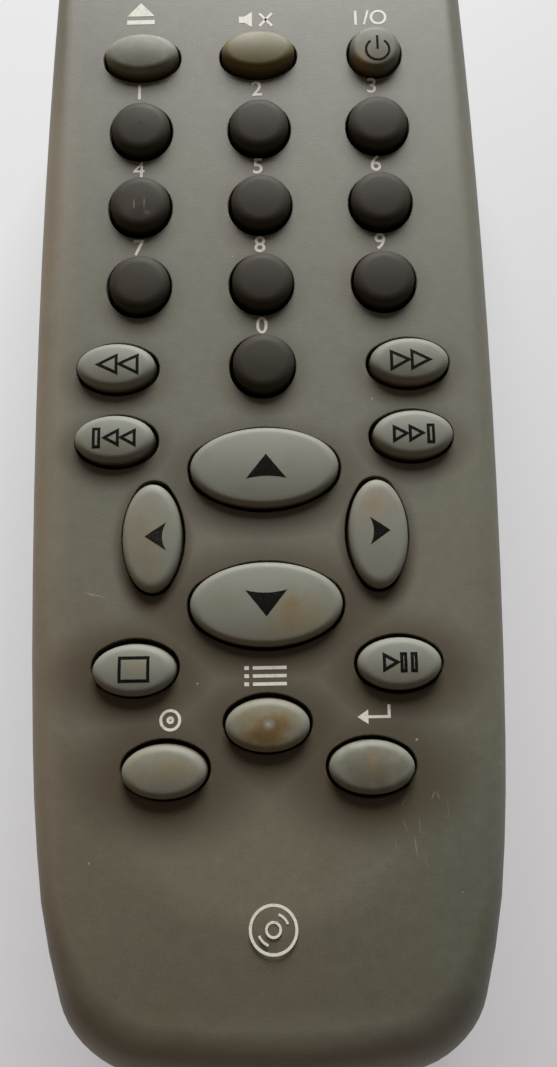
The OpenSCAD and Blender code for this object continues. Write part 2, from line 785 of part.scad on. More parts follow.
// Infrared diode with its flange and two leads that turn up through the board
module ir_led() {
    led_z = board_low_z - 1.2;
    led_y = half_len - wall - 1 - fit_gap - led_len;
    flange_l = 1;
    color("midnightblue") {
        translate([0, led_y, led_z])
            rotate([-90, 0, 0]) {
                cylinder(d = led_d, h = led_len - led_d / 2, $fn = fine);
                cylinder(d = led_d + 0.7, h = flange_l, $fn = fine);
                translate([0, 0, led_len - led_d / 2])
                    sphere(d = led_d, $fn = 48);
            }
        for (s = [-1, 1]) {
            translate([s * lead_step / 2, lead_y, led_z])
                rotate([-90, 0, 0])
                    cylinder(d = lead_d, h = led_y - lead_y + root, $fn = 32);
            rod(s * lead_step / 2, lead_y, lead_d / 2, led_z - lead_d / 2, board_top_z + 0.15);
        }
    }
}

// Remote-control chip in a flat package with a row of leads along each side
chip_y = row_b - 1.5 * row_step;
chip_l = 18;
chip_w = 7.6;
chip_h = 2.4;
chip_leads = 14;
chip_pitch = 1.27;
module controller_chip() {
    color("black") {
        slab(-chip_l / 2, chip_l / 2, chip_y - chip_w / 2, chip_y + chip_w / 2,
            board_low_z - chip_h, board_low_z - 0.15);
        for (i = [0:chip_leads - 1], s = [0, 1])
            translate([(i - (chip_leads - 1) / 2) * chip_pitch, chip_y, board_low_z])
                mirror([0, s, 0])
                    gull_lead();
    }
}

// One bent lead, drawn from the package's side out and up to the board
module gull_lead() {
    a = chip_w / 2;
    t = 0.3;
    low = -chip_h / 2;
    knee = a + 0.8;
    foot = knee + 0.8;
    rotate([90, 0, 90])
        linear_extrude(0.4, center = true)
            polygon([[a - t, low], [knee, low], [knee, -t], [foot, -t], [foot, 0], [knee - t, 0],
                [knee - t, low + t], [a - t, low + t]]);
}

// Ceramic resonator on two leads
resonator_l = 7;
resonator_w = 3;
resonator_h = 5.4;
resonator_x = -13.5;
resonator_y = wind_y + row_step / 2 + resonator_w / 2;
module resonator() {
    color("goldenrod") {
        slab(resonator_x - resonator_l / 2, resonator_x + resonator_l / 2,
            resonator_y - resonator_w / 2, resonator_y + resonator_w / 2,
            board_low_z - resonator_h - 0.6, board_low_z - 0.6);
        for (s = [-1, 1])
            rod(resonator_x + s * lead_step, resonator_y, lead_d / 2, board_low_z - 1, board_low_z);
    }
}

// Electrolytic capacitor that lies under the board on its bent leads
can_d = 5;
can_l = 7;
can_x = -14;
can_y = row_a - 4;
module capacitor() {
    can_z = board_low_z - can_d / 2 - 2 * fit_gap;
    stand = 1.2;
    color("navy") {
        translate([can_x, can_y, can_z])
            rotate([-90, 0, 0])
                cylinder(d = can_d, h = can_l, $fn = fine);
        for (s = [-1, 1], x = can_x + s * lead_step / 2) {
            translate([x, can_y - stand, can_z])
                rotate([-90, 0, 0])
                    cylinder(d = lead_d, h = stand + root, $fn = 32);
            rod(x, can_y - stand, lead_d / 2, can_z - lead_d / 2, board_low_z);
        }
    }
}

// Small transistor that drives the diode, with a flat face and three leads
can_flat = 1.4;
transistor_d = 4.6;
transistor_x = 8;
module transistor() {
    low = board_low_z - transistor_d - 1;
    color("black") {
        difference() {
            rod(transistor_x, row_a, transistor_d / 2, low, low + transistor_d);
            slab(transistor_x - transistor_d, transistor_x + transistor_d, row_a - transistor_d, row_a - can_flat,
                low - 1, board_low_z);
        }
        for (i = [-1:1])
            rod(transistor_x + i * lead_step / 2, row_a, lead_d / 2, low + transistor_d - root, board_low_z);
    }
}

// A row of four chip resistors
resistor_l = 2;
resistor_w = 1.25;
resistor_h = 0.6;
module resistors() {
    color("silver")
    for (i = [0:3], x = chip_l / 2 + 3 + 2 * i)
        slab(x, x + resistor_w, chip_y - resistor_l / 2, chip_y + resistor_l / 2,
            board_low_z - resistor_h, board_low_z);
}

// ---- Battery contacts, cells and case screw ----

plate_w = 8;
spring_small_r = 1.9;
spring_large_r = 3.4;
spring_turns = 3.5;
spring_gap = 0.02;

module contact_plate(x, y, w) {
    slab(x - w / 2, x + w / 2, y, y + plate_t, cell_z - plate_w / 2, cell_z + plate_w / 2);
}

// A plate at the bay's upper wall with its tail, which runs through the roof to the board
module tailed_plate(x) {
    contact_plate(x, bay_y1 - plate_t, plate_w);
    slab(x - tail_w / 2, x + tail_w / 2, bay_y1 - plate_t, bay_y1,
        cell_z + plate_w / 2 - root, board_low_z - fit_gap / 2);
}

module tab_plate() {
    color("silver")
    tailed_plate(-cell_step / 2);
}

module spring_plate() {
    color("silver")
    tailed_plate(cell_step / 2);
}

module link_plate() {
    color("silver")
    contact_plate(0, bay_y0, cell_step + plate_w);
}

// A conical coil of round wire that starts wide at y0 and narrows towards y1
module coil(x, y0, y1) {
    steps = spring_turns * 14;
    wr = wire_d / 2;
    lift = sign(y1 - y0) * wr;
    loft([
        for (i = [0:steps])
            let (
                f = i / steps,
                a = 360 * spring_turns * f,
                r = mix(spring_large_r, spring_small_r, f),
                c = [x + r * cos(a), mix(y0 + lift, y1 - lift, f), cell_z + r * sin(a)]
            )
            [for (j = [0:5]) c + wr * [cos(60 * j) * cos(a), sin(60 * j), cos(60 * j) * sin(a)]]
    ]);
}

module battery_springs() {
    color("silver") {
        coil(-cell_step / 2, bay_y0 + plate_t + spring_gap, bay_y0 + plate_t + spring_len - spring_gap);
        coil(cell_step / 2, bay_y1 - plate_t - spring_gap, bay_y1 - plate_t - spring_len + spring_gap);
    }
}

// One AAA cell: its can from the flat end up, and its button; dir turns it round
nub_h = 0.9;
nub_d = 3.6;
module cell(x, y0, dir) {
    translate([x, y0, cell_z])
        rotate([-90 * dir, 0, 0]) {
            cylinder(d = cell_d, h = cell_len - nub_h, $fn = fine);
            cylinder(d = nub_d, h = cell_len, $fn = fine);
        }
}

module cell_left() {
    color("seagreen")
    cell(-cell_step / 2, bay_y0 + plate_t + spring_len, 1);
}

module cell_right() {
    color("seagreen")
    cell(cell_step / 2, bay_y1 - plate_t - spring_len, -1);
}

// Self-tapping screw from the bay's roof up into the front shell's boss, with a cross recess
screw_head_h = 1.3;
recess_t = 0.7;
module case_screw() {
    low = roof_z - screw_head_h;
    recess_l = screw_head_d - 1.4;
    color("silver")
    difference() {
        union() {
            rod(0, screw_y, screw_head_d / 2, low, roof_z);
            rod(0, screw_y, screw_d / 2, low, roof_top_z + 4);
        }
        for (s = [[recess_l, 0.5], [0.5, recess_l]])
            slab(-s[0] / 2, s[0] / 2, screw_y - s[1] / 2, screw_y + s[1] / 2, low - 1, low + recess_t);
    }
}

front_shell();
rear_shell();
battery_door();
ir_window();
keypad_mat();
circuit_board();
contact_pads();
ir_led();
controller_chip();
resonator();
capacitor();
transistor();
resistors();
battery_springs();
spring_plate();
tab_plate();
link_plate();
cell_left();
cell_right();
case_screw();
color("silver") key(KEYS[0]);  // key_open
color("silver") key(KEYS[1]);  // key_mute
color("silver") key(KEYS[2]);  // key_power
color("dimgray") key(KEYS[3]);  // key_one
color("dimgray") key(KEYS[4]);  // key_two
color("dimgray") key(KEYS[5]);  // key_three
color("dimgray") key(KEYS[6]);  // key_four
color("dimgray") key(KEYS[7]);  // key_five
color("dimgray") key(KEYS[8]);  // key_six
color("dimgray") key(KEYS[9]);  // key_seven
color("dimgray") key(KEYS[10]);  // key_eight
color("dimgray") key(KEYS[11]);  // key_nine
color("dimgray") key(KEYS[12]);  // key_zero
color("silver") key(KEYS[13]);  // key_rewind
color("silver") key(KEYS[14]);  // key_forward
color("silver") key(KEYS[15]);  // key_previous
color("silver") key(KEYS[16]);  // key_next
color("silver") key(KEYS[17]);  // key_up
color("silver") key(KEYS[18]);  // key_left
color("silver") key(KEYS[19]);  // key_right
color("silver") key(KEYS[20]);  // key_down
color("silver") key(KEYS[21]);  // key_stop
color("silver") key(KEYS[22]);  // key_play
color("silver") key(KEYS[23]);  // key_menu
color("silver") key(KEYS[24]);  // key_title
color("silver") key(KEYS[25]);  // key_enter
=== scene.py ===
import math

import bmesh
import bpy
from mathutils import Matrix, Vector


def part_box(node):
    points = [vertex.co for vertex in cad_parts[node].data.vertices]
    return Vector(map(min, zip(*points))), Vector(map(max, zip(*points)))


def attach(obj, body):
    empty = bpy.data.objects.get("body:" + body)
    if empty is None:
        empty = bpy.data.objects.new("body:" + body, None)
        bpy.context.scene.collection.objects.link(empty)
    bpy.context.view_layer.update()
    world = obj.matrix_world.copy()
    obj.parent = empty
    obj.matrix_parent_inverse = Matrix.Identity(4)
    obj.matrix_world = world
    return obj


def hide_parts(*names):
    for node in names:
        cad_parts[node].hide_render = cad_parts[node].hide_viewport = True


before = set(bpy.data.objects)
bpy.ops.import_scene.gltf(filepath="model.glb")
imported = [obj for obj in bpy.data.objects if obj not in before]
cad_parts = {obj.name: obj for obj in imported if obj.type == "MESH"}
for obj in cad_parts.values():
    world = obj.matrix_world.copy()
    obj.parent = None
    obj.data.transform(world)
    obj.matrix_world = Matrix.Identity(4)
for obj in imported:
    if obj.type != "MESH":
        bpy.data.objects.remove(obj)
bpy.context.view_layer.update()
bpy.ops.object.select_all(action='DESELECT')
scene = bpy.context.scene
scene.view_settings.view_transform = 'Standard'


# ---- Viewpoint ----
# A hand-held camera close above the lower half of the remote, leaning a little
# towards its infrared end, with the wide lens of a phone.

def new_object(name, data):
    made = bpy.data.objects.new(name, data)
    scene.collection.objects.link(made)
    return made


viewpoint = new_object("viewpoint", bpy.data.cameras.new("viewpoint"))
viewpoint.location = (0.00249, -0.03201, 0.11686)
viewpoint.rotation_euler = [math.radians(turn) for turn in (11.3358, 0.788, -0.9778)]
viewpoint.data.sensor_width = 36
viewpoint.data.lens = 30.366
viewpoint.data.clip_start = 0.005
scene.camera = viewpoint


# ---- Table top and light ----
# A plain pale table under the remote. A wide window-like panel stands behind its
# infrared end, and the pale room round it fills the shadows.

def add_node(tree, kind, inputs=None, **settings):
    """Adds a node with its settings. Each input gets a value, or a link from another node's output."""
    made = tree.nodes.new(kind)
    for name, value in settings.items():
        setattr(made, name, value)
    for name, value in (inputs or {}).items():
        if isinstance(value, bpy.types.NodeSocket):
            tree.links.new(value, made.inputs[name])
        else:
            made.inputs[name].default_value = value
    return made


def maths(tree, operation, *values):
    return add_node(tree, 'ShaderNodeMath', dict(enumerate(values)), operation=operation).outputs[0]


def axis_of(tree, place, axis):
    return add_node(tree, 'ShaderNodeSeparateXYZ', {0: place}).outputs[axis]


def ramp(tree, value, start, end, low=0.0, high=1.0, soft=False):
    """Goes from low to high as the value goes from start to end, and no further."""
    return add_node(tree, 'ShaderNodeMapRange', {
        'Value': value, 'From Min': start, 'From Max': end, 'To Min': low, 'To Max': high},
        interpolation_type='SMOOTHSTEP' if soft else 'LINEAR').outputs[0]


def blend_colour(tree, mask, first, second):
    return add_node(tree, 'ShaderNodeMix', {0: mask, 6: first, 7: second}, data_type='RGBA').outputs[2]


def colour(red, green, blue):
    """A colour from its levels on a screen, 0 to 255."""
    def linear(c):
        c /= 255
        return c / 12.92 if c <= 0.04045 else ((c + 0.055) / 1.055) ** 2.4
    return (linear(red), linear(green), linear(blue), 1)


def start_material(name):
    """A material, its empty tree, and the place on the piece that its patterns read."""
    material = bpy.data.materials.new(name)
    material.use_nodes = True
    tree = material.node_tree
    tree.nodes.clear()
    return material, tree, add_node(tree, 'ShaderNodeTexCoord').outputs['Object']


bpy.ops.mesh.primitive_plane_add(size=3, location=(0, 0, -0.0001))
table_top = bpy.context.object
table_top.name = "table_top"
table_paint, tree, place = start_material("table_paint")
# The table's tone is painted lighter towards the infrared end and the left, and darker towards the lower end and the
# right, as painted light falloff; the camera sees it through the glow too
painted_falloff_slant = maths(tree, 'MULTIPLY_ADD', axis_of(tree, place, 'X'), -0.9, axis_of(tree, place, 'Y'))
tone = blend_colour(tree, ramp(tree, painted_falloff_slant, -0.11, 0.06), colour(199, 196, 198), colour(221, 222, 223))
paint = add_node(tree, 'ShaderNodeBsdfPrincipled', {'Base Color': tone, 'Roughness': 0.8})
bright = add_node(tree, 'ShaderNodeEmission', {'Color': tone, 'Strength': 1.0})
rays = add_node(tree, 'ShaderNodeLightPath').outputs
seen = maths(tree, 'MAXIMUM', maths(tree, 'MAXIMUM', rays['Is Camera Ray'], rays['Is Glossy Ray']),
             rays['Is Transmission Ray'])
mixed = add_node(tree, 'ShaderNodeMixShader', {
    0: maths(tree, 'MULTIPLY', seen, 0.6), 1: paint.outputs[0], 2: bright.outputs[0]})
add_node(tree, 'ShaderNodeOutputMaterial', {'Surface': mixed.outputs[0]})
table_top.data.materials.append(table_paint)

window_panel = new_object("window_panel", bpy.data.lights.new("window_panel", 'AREA'))
window_panel.data.shape = 'RECTANGLE'
window_panel.data.size = 0.75
window_panel.data.size_y = 0.46
window_panel.data.energy = 32
window_panel.location = (0.06, 1.04, 0.46)
window_panel.rotation_euler = (-window_panel.location).to_track_quat('-Z', 'Y').to_euler()

room = bpy.data.worlds.new("room")
scene.world = room
room.use_nodes = True
tree = room.node_tree
tree.nodes.clear()
direction = add_node(tree, 'ShaderNodeTexCoord').outputs['Generated']
x, y, z = (axis_of(tree, direction, axis) for axis in 'XYZ')
wall_level = ramp(tree, maths(tree, 'ADD', maths(tree, 'ABSOLUTE', x), y), -0.8, 0.8, 0.3, 0.75)
level = ramp(tree, z, 0.1, 0.75, wall_level, 0.12)
toward_window = ramp(tree, maths(tree, 'MULTIPLY_ADD', x, 0.8, y), -0.9, 0.7)
wall = blend_colour(tree, toward_window, colour(232, 192, 150), colour(224, 226, 226))
seen = add_node(tree, 'ShaderNodeBackground', {'Color': colour(226, 226, 225), 'Strength': 1.0})
fill = add_node(tree, 'ShaderNodeBackground', {'Color': wall, 'Strength': level})
backdrop = add_node(tree, 'ShaderNodeMixShader', {
    0: add_node(tree, 'ShaderNodeLightPath').outputs['Is Camera Ray'], 1: fill.outputs[0], 2: seen.outputs[0]})
add_node(tree, 'ShaderNodeOutputWorld', {'Surface': backdrop.outputs[0]})
bpy.ops.object.select_all(action='DESELECT')


# ---- Case plastic ----
# Dark warm-grey ABS, moulded with a fine matte grain. Years of handling have
# left faint soiling, pale specks and a few hairline scratches.

mm = 0.001


def in_metres(x, y, z=0.0):
    return (x * mm, y * mm, z * mm)


def new_effect(name, inputs, output="Mask"):
    """A node group that reads a place and gives one value. An input without a value is a place too."""
    group = bpy.data.node_groups.new(name, 'ShaderNodeTree')
    for label, value in {"Place": None, **inputs}.items():
        kind = 'NodeSocketVector' if value is None else 'NodeSocketFloat'
        socket = group.interface.new_socket(label, in_out='INPUT', socket_type=kind)
        if value is not None:
            socket.default_value = value
    group.interface.new_socket(output, in_out='OUTPUT', socket_type='NodeSocketFloat')
    return group, add_node(group, 'NodeGroupInput').outputs


def effect(tree, group, place, **values):
    """Uses an effect in a material. Its input "Half width" is set by half_width, and so on."""
    inputs = {name.replace("_", " ").capitalize(): value for name, value in values.items()}
    return add_node(tree, 'ShaderNodeGroup', {"Place": place, **inputs}, node_tree=group).outputs[0]


def noise(tree, place, scale, detail, roughness=0.5):
    return add_node(tree, 'ShaderNodeTexNoise', {
        'Vector': place, 'Scale': scale, 'Detail': detail, 'Roughness': roughness}).outputs[0]


def from_centre(tree, given):
    return add_node(tree, 'ShaderNodeVectorMath', {
        0: given['Place'], 1: given['Centre']}, operation='SUBTRACT').outputs[0]


def oval_reach(tree, given):
    """How far out a place lies: 0 at an effect's centre and 1 on the oval of its half length and width."""
    reaches = [maths(tree, 'DIVIDE', axis_of(tree, from_centre(tree, given), axis), given[half])
               for axis, half in (('X', 'Half length'), ('Y', 'Half width'))]
    return maths(tree, 'SQRT', maths(tree, 'ADD', *(maths(tree, 'MULTIPLY', reach, reach) for reach in reaches)))


# Fine uneven grain of a moulded surface
moulded_grain, given = new_effect("moulded_grain", {"Grain per metre": 5000.0, "Coarseness": 0.3}, "Height")
fine = noise(moulded_grain, given['Place'], given['Grain per metre'], 2.0, 0.6)
broad = noise(moulded_grain, given['Place'], maths(moulded_grain, 'MULTIPLY', given['Grain per metre'], 0.12), 2.0)
add_node(moulded_grain, 'NodeGroupOutput', {"Height": maths(
    moulded_grain, 'ADD', fine, maths(moulded_grain, 'MULTIPLY', broad, given['Coarseness']))})

# Cloudy patches where hands have left the surface darker, browner or smoother
soiling, given = new_effect("soiling", {"Patches per metre": 60.0, "Cover": 0.5})
cloud = noise(soiling, given['Place'], given['Patches per metre'], 4.0, 0.62)
clear_below = maths(soiling, 'SUBTRACT', 0.72, maths(soiling, 'MULTIPLY', given['Cover'], 0.4))
add_node(soiling, 'NodeGroupOutput', {"Mask": ramp(soiling, cloud, clear_below, 0.8)})

# Sparse tiny specks of dust and chips
dust_specks, given = new_effect("dust_specks", {"Cells per metre": 500.0, "Speck size": 0.06, "Share": 0.2})
cells = add_node(dust_specks, 'ShaderNodeTexVoronoi', {
    'Vector': given['Place'], 'Scale': given['Cells per metre']}).outputs
drawn = add_node(dust_specks, 'ShaderNodeSeparateColor', {0: cells['Color']}).outputs
kept = maths(dust_specks, 'LESS_THAN', drawn[0], given['Share'])
size = maths(dust_specks, 'MULTIPLY', given['Speck size'], maths(dust_specks, 'ADD', drawn[1], 0.3))
speck = ramp(dust_specks, cells['Distance'], maths(dust_specks, 'MULTIPLY', size, 0.5), size, 1.0, 0.0)
add_node(dust_specks, 'NodeGroupOutput', {"Mask": maths(dust_specks, 'MULTIPLY', speck, kept)})

# One thin straight scratch that fades out at both ends
hairline, given = new_effect("hairline", {"Centre": None, "Turn": 0.0, "Half length": 0.001, "Half width": 0.00005})
turned = add_node(hairline, 'ShaderNodeVectorRotate', {
    'Vector': from_centre(hairline, given), 'Angle': given['Turn']}, rotation_type='Z_AXIS').outputs[0]
lengthwise, sideways = (maths(hairline, 'ABSOLUTE', axis_of(hairline, turned, axis)) for axis in 'XY')
full_until = maths(hairline, 'MULTIPLY', given['Half length'], 0.3)
end_fade = ramp(hairline, lengthwise, full_until, given['Half length'], 1.0, 0.0)
side_fade = ramp(hairline, sideways, 0.0, given['Half width'], 1.0, 0.0)
add_node(hairline, 'NodeGroupOutput', {"Mask": maths(hairline, 'MULTIPLY', end_fade, side_fade)})

# Painted shadow and grime round an opening, thinning out over its reach
shadow_and_dirt_halo, given = new_effect("shadow_and_dirt_halo", {
    "Centre": None, "Half length": 0.004, "Half width": 0.003, "Reach": 0.002})
past = maths(shadow_and_dirt_halo, 'SUBTRACT', oval_reach(shadow_and_dirt_halo, given), 1.0)
past = maths(shadow_and_dirt_halo, 'MULTIPLY', past, given['Half width'])
add_node(shadow_and_dirt_halo, 'NodeGroupOutput', {
    "Mask": ramp(shadow_and_dirt_halo, past, 0.0, given['Reach'], 1.0, 0.0, soft=True)})


def tint(tree, shade, mask, share, tone):
    """Lays a share of a tone over a shade where the mask is."""
    return blend_colour(tree, maths(tree, 'MULTIPLY', mask, share), shade, tone)


def surface(tree, tone, roughness, relief, gloss=0.5, metal=0.0):
    """Finishes a material. The relief is its height, how strongly it shows, and its depth in millimetres."""
    height, strength, depth = relief
    raised = add_node(tree, 'ShaderNodeBump', {'Height': height, 'Strength': strength, 'Distance': depth * mm})
    finish = add_node(tree, 'ShaderNodeBsdfPrincipled', {
        'Base Color': tone, 'Roughness': roughness, 'Specular IOR Level': gloss, 'Metallic': metal,
        'Normal': raised.outputs[0]})
    add_node(tree, 'ShaderNodeOutputMaterial', {'Surface': finish.outputs[0]})


def case_plastic_material(name, scratches=(), openings=()):
    material, tree, place = start_material(name)
    across, along, height = (axis_of(tree, place, axis) for axis in 'XYZ')
    soil = effect(tree, soiling, place, patches_per_metre=70, cover=0.45)
    mottle = effect(tree, soiling, place, patches_per_metre=900, cover=0.9)

    # Tones laid by place, from places in metres: painted warm light towards the lower end, a painted highlight along
    # the left shoulder, darker towards the lower right and the upper end, and painted light on the rolled lower end,
    # where chips of wear also gather
    painted_warm_light = ramp(tree, along, 0.002, -0.048)
    painted_left_highlight = ramp(tree, across, -0.0212, -0.0262)
    far_corner = maths(tree, 'MULTIPLY', ramp(tree, across, 0.002, 0.02), ramp(tree, along, -0.02, -0.042))
    painted_light_and_wear_end = ramp(tree, along, -0.0605, -0.0695)
    far_end = ramp(tree, along, 0.036, 0.05)
    shade = colour(96, 95, 82)
    for mask, share, tone in (
            (painted_warm_light, 0.6, colour(101, 92, 78)), (painted_left_highlight, 0.65, colour(134, 120, 98)),
            (far_corner, 0.8, colour(87, 88, 76)), (painted_light_and_wear_end, 0.9, colour(134, 133, 119)),
            (far_end, 0.6, colour(82, 80, 68)), (soil, 0.6, colour(92, 82, 66)),
            (mottle, 0.3, colour(114, 111, 98))):
        shade = tint(tree, shade, mask, share, tone)

    # Painted shadow, with some grime, lies off each opening's middle towards the lower end, away from the window light,
    # and reaches further and darker the nearer the lower end is
    if openings:
        grime_and_shade = 0.0
        for x, y, half_length, half_width in openings:
            reach = min(half_length, half_width) * 0.67 + max(0.0, -0.012 - y) * 0.15
            ring = effect(tree, shadow_and_dirt_halo, place, centre=(x, y - 0.0008, 0.0), half_length=half_length,
                          half_width=half_width, reach=reach)
            grime_and_shade = maths(tree, 'MAXIMUM', ring, grime_and_shade)
        flat = ramp(tree, height, 0.0196, 0.0201)
        towards_lower_end = ramp(tree, along, 0.02, -0.02, 0.3, 1.0)
        grime_and_shade = maths(tree, 'MULTIPLY', maths(tree, 'MULTIPLY', grime_and_shade, flat), towards_lower_end)
        shade = tint(tree, shade, grime_and_shade, 0.85, colour(60, 49, 33))

    specks = effect(tree, dust_specks, place, cells_per_metre=260, speck_size=0.035, share=0.22)
    shade = tint(tree, shade, specks, 0.6, colour(176, 172, 160))
    chips = effect(tree, dust_specks, place, cells_per_metre=620, speck_size=0.055, share=0.3)
    rim = ramp(tree, height, 0.0175, 0.0165)
    worn = maths(tree, 'MAXIMUM', maths(tree, 'MULTIPLY', far_corner, 0.55), maths(tree, 'MULTIPLY', rim, 0.85))
    worn = maths(tree, 'MAXIMUM', worn, maths(tree, 'MULTIPLY', painted_light_and_wear_end, 0.5))
    shade = tint(tree, shade, chips, worn, colour(178, 174, 160))
    for centre, turn, length, width, strength in scratches:
        line = effect(tree, hairline, place, centre=in_metres(*centre), turn=math.radians(-turn),
                      half_length=length / 2 * mm, half_width=width / 2 * mm)
        shade = tint(tree, shade, line, strength, colour(166, 160, 146))
    grain = effect(tree, moulded_grain, place, grain_per_metre=4600, coarseness=0.5)
    shade = tint(tree, shade, ramp(tree, grain, 0.95, 0.62), 0.2, colour(70, 66, 54))
    surface(tree, shade, ramp(tree, soil, 0.0, 1.0, 0.52, 0.46), (grain, 0.3, 0.04))
    return material


case_plastic = case_plastic_material("case_plastic")


# ---- Front shell ----
# The upper moulding: a flat field with 26 fitted openings, a soft-bordered skirt
# and an edge that rolls over, tighter at the sides than at the lower end.

def only(piece):
    """Selects one piece alone and makes it the active one."""
    bpy.ops.object.select_all(action='DESELECT')
    piece.select_set(True)
    bpy.context.view_layer.objects.active = piece


def select_edges(piece, wanted=lambda end: True, sharper_than=0, longer_than=0, outer=False):
    """Selects the edges of a piece in edit mode whose two ends are both wanted.

    The angle is in degrees and the length in millimetres. With outer set, an edge also
    needs an upright face that looks away from the middle of the piece.
    """
    work = bmesh.from_edit_mesh(piece.data)
    work.select_mode = {'EDGE'}
    for edge in work.edges:
        ends = [vert.co for vert in edge.verts]
        away = any(abs(face.normal.z) < 0.7 and face.normal.xy.dot((ends[0] + ends[1]).xy) > 0
                   for face in edge.link_faces)
        edge.select = (all(wanted(end) for end in ends) and (away or not outer)
                       and edge.calc_face_angle(0.0) >= math.radians(sharper_than)
                       and edge.calc_length() >= longer_than * mm)
    work.select_flush_mode()
    bmesh.update_edit_mesh(piece.data)


def round_edges(piece, radius, segments, **which):
    """Rounds the edges that select_edges finds, by a radius in millimetres."""
    select_edges(piece, **which)
    bpy.ops.mesh.bevel(offset=radius * mm, segments=segments, affect='EDGES')


def merged_copy(name, node):
    """A copy of a CAD node as one clean surface, active and in edit mode."""
    piece = new_object(name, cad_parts[node].data.copy())
    only(piece)
    bpy.ops.object.mode_set(mode='EDIT')
    bpy.ops.mesh.customdata_custom_splitnormals_clear()
    bpy.ops.mesh.select_all(action='SELECT')
    bpy.ops.mesh.remove_doubles(threshold=0.003 * mm)
    bpy.ops.mesh.dissolve_limited(angle_limit=math.radians(0.15))
    return piece


def apply_modifier(piece, label, kind, **settings):
    modifier = piece.modifiers.new(label, kind)
    for name, value in settings.items():
        setattr(modifier, name, value)
    bpy.ops.object.modifier_apply(modifier=modifier.name)


def smooth_finish(piece, angle=35):
    """Leaves edit mode and shades the piece, with large flat faces kept flat."""
    bpy.ops.object.mode_set(mode='OBJECT')
    only(piece)
    bpy.ops.object.shade_smooth_by_angle(angle=math.radians(angle))
    apply_modifier(piece, "even_shading", 'WEIGHTED_NORMAL', keep_sharp=True, weight=80)


def dress(piece, material, body, node=None):
    piece.data.materials.clear()
    piece.data.materials.append(material)
    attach(piece, body)
    if node:
        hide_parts(node)


# The openings, as the keys' boxes without the flanges that lap under the face
flange_lap = 0.3
openings = []
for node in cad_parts:
    if node.startswith("key_"):
        low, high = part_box(node)
        openings.append(((low[0] + high[0]) / 2, (low[1] + high[1]) / 2, (high[0] - low[0]) / 2 - flange_lap * mm,
                         (high[1] - low[1]) / 2 - flange_lap * mm))

# Each scratch: its middle, turn in degrees, length and width in millimetres, and strength
face_plastic = case_plastic_material("face_plastic", openings=openings, scratches=[
    ((-18.5, -19), -15, 2.5, 0.14, 0.6), ((-19, -19), -20, 1.5, 0.12, 0.5), ((17, -40.5), 65, 1, 0.13, 0.6),
    ((17.5, -40.5), -70, 1, 0.13, 0.6), ((14, -43.5), -70, 1.5, 0.12, 0.4), ((15, -45.5), -85, 2.5, 0.14, 0.5),
    ((15.5, -43.5), -85, 2, 0.12, 0.35), ((14, -41), 60, 1.5, 0.1, 0.3), ((16, -47), -80, 1.5, 0.1, 0.35),
    ((13, -45.5), -75, 2, 0.1, 0.3), ((18.5, -42), -85, 3, 0.1, 0.25), ((-6, 34.5), -40, 1.5, 0.12, 0.3)])

part_z, face_z = (corner[2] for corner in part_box("front_shell"))
same_height = 0.01
square_turn = 57
rim_round, parting_round = 0.16, 0.13


def round_parting_edge(piece):
    """Rounds the outer edge along which the two mouldings of the case meet."""
    round_edges(piece, parting_round, 2, wanted=lambda end: abs(end.z - part_z) < same_height * mm,
                sharper_than=square_turn, outer=True)


front_moulding = merged_copy("front_moulding", "front_shell")
round_edges(front_moulding, rim_round, 3, wanted=lambda end: end.z > face_z - same_height * mm,
            sharper_than=square_turn)
round_parting_edge(front_moulding)
smooth_finish(front_moulding)
dress(front_moulding, face_plastic, "case", "front_shell")


# ---- Rubber keys ----
# One-piece silicone keys with a crowned top and a softly rounded edge. A flange
# holds each under the face, and a carbon pill below it closes its contact.

# A ragged-edged spot of wear or dirt
worn_spot, given = new_effect("worn_spot", {"Centre": None, "Half length": 0.002, "Half width": 0.002})
ragged = maths(worn_spot, 'MULTIPLY', noise(worn_spot, given['Place'], 900.0, 3.0), 1.1)
ragged_reach = maths(worn_spot, 'ADD', oval_reach(worn_spot, given), ragged)
add_node(worn_spot, 'NodeGroupOutput', {"Mask": ramp(worn_spot, ragged_reach, 0.6, 1.7, 1.0, 0.0, soft=True)})


def key_rubber_material(name, clean, soiled, sheen_and_rubbed_tone, stains=(), cover=0.4, grime_and_shade=colour(66, 57, 44),
                        speck=colour(70, 62, 50), gloss=0.32):
    """Rubber with its stains: for each the middle, the reach both ways, the tone and the strength."""
    material, tree, place = start_material(name)
    soil = effect(tree, soiling, place, patches_per_metre=260, cover=cover)
    mottle = effect(tree, soiling, place, patches_per_metre=1500, cover=0.8)
    # Small patches of a lighter tone: painted sheen, and rubber rubbed pale
    shade = tint(tree, tint(tree, clean, soil, 0.6, soiled), mottle, 0.12, sheen_and_rubbed_tone)
    for centre, reach, tone, strength in stains:
        spot = effect(tree, worn_spot, place, centre=in_metres(*centre), half_length=reach[0] * mm,
                      half_width=reach[1] * mm)
        shade = tint(tree, shade, spot, strength, tone)
    specks = effect(tree, dust_specks, place, cells_per_metre=500, speck_size=0.05, share=0.12)
    shade = tint(tree, shade, specks, 0.45, speck)
    # Painted shade, with some grime, darkens each key's sides towards the bottom of the gap
    low = ramp(tree, axis_of(tree, place, 'Z'), 0.02115, 0.0199, soft=True)
    shade = blend_colour(tree, low, shade, grime_and_shade)
    grain = effect(tree, moulded_grain, place, grain_per_metre=4800, coarseness=0.8)
    surface(tree, shade, ramp(tree, soil, 0.0, 1.0, 0.6, 0.52), (grain, 0.25, 0.04), gloss)
    return material


BROWN, DEEP_BROWN, PALE_DUST = colour(108, 90, 58), colour(86, 66, 36), colour(110, 104, 94)


def pale_rubber_material(name, stains=()):
    return key_rubber_material(name, colour(108, 109, 99), colour(103, 98, 82), colour(120, 120, 110), stains)


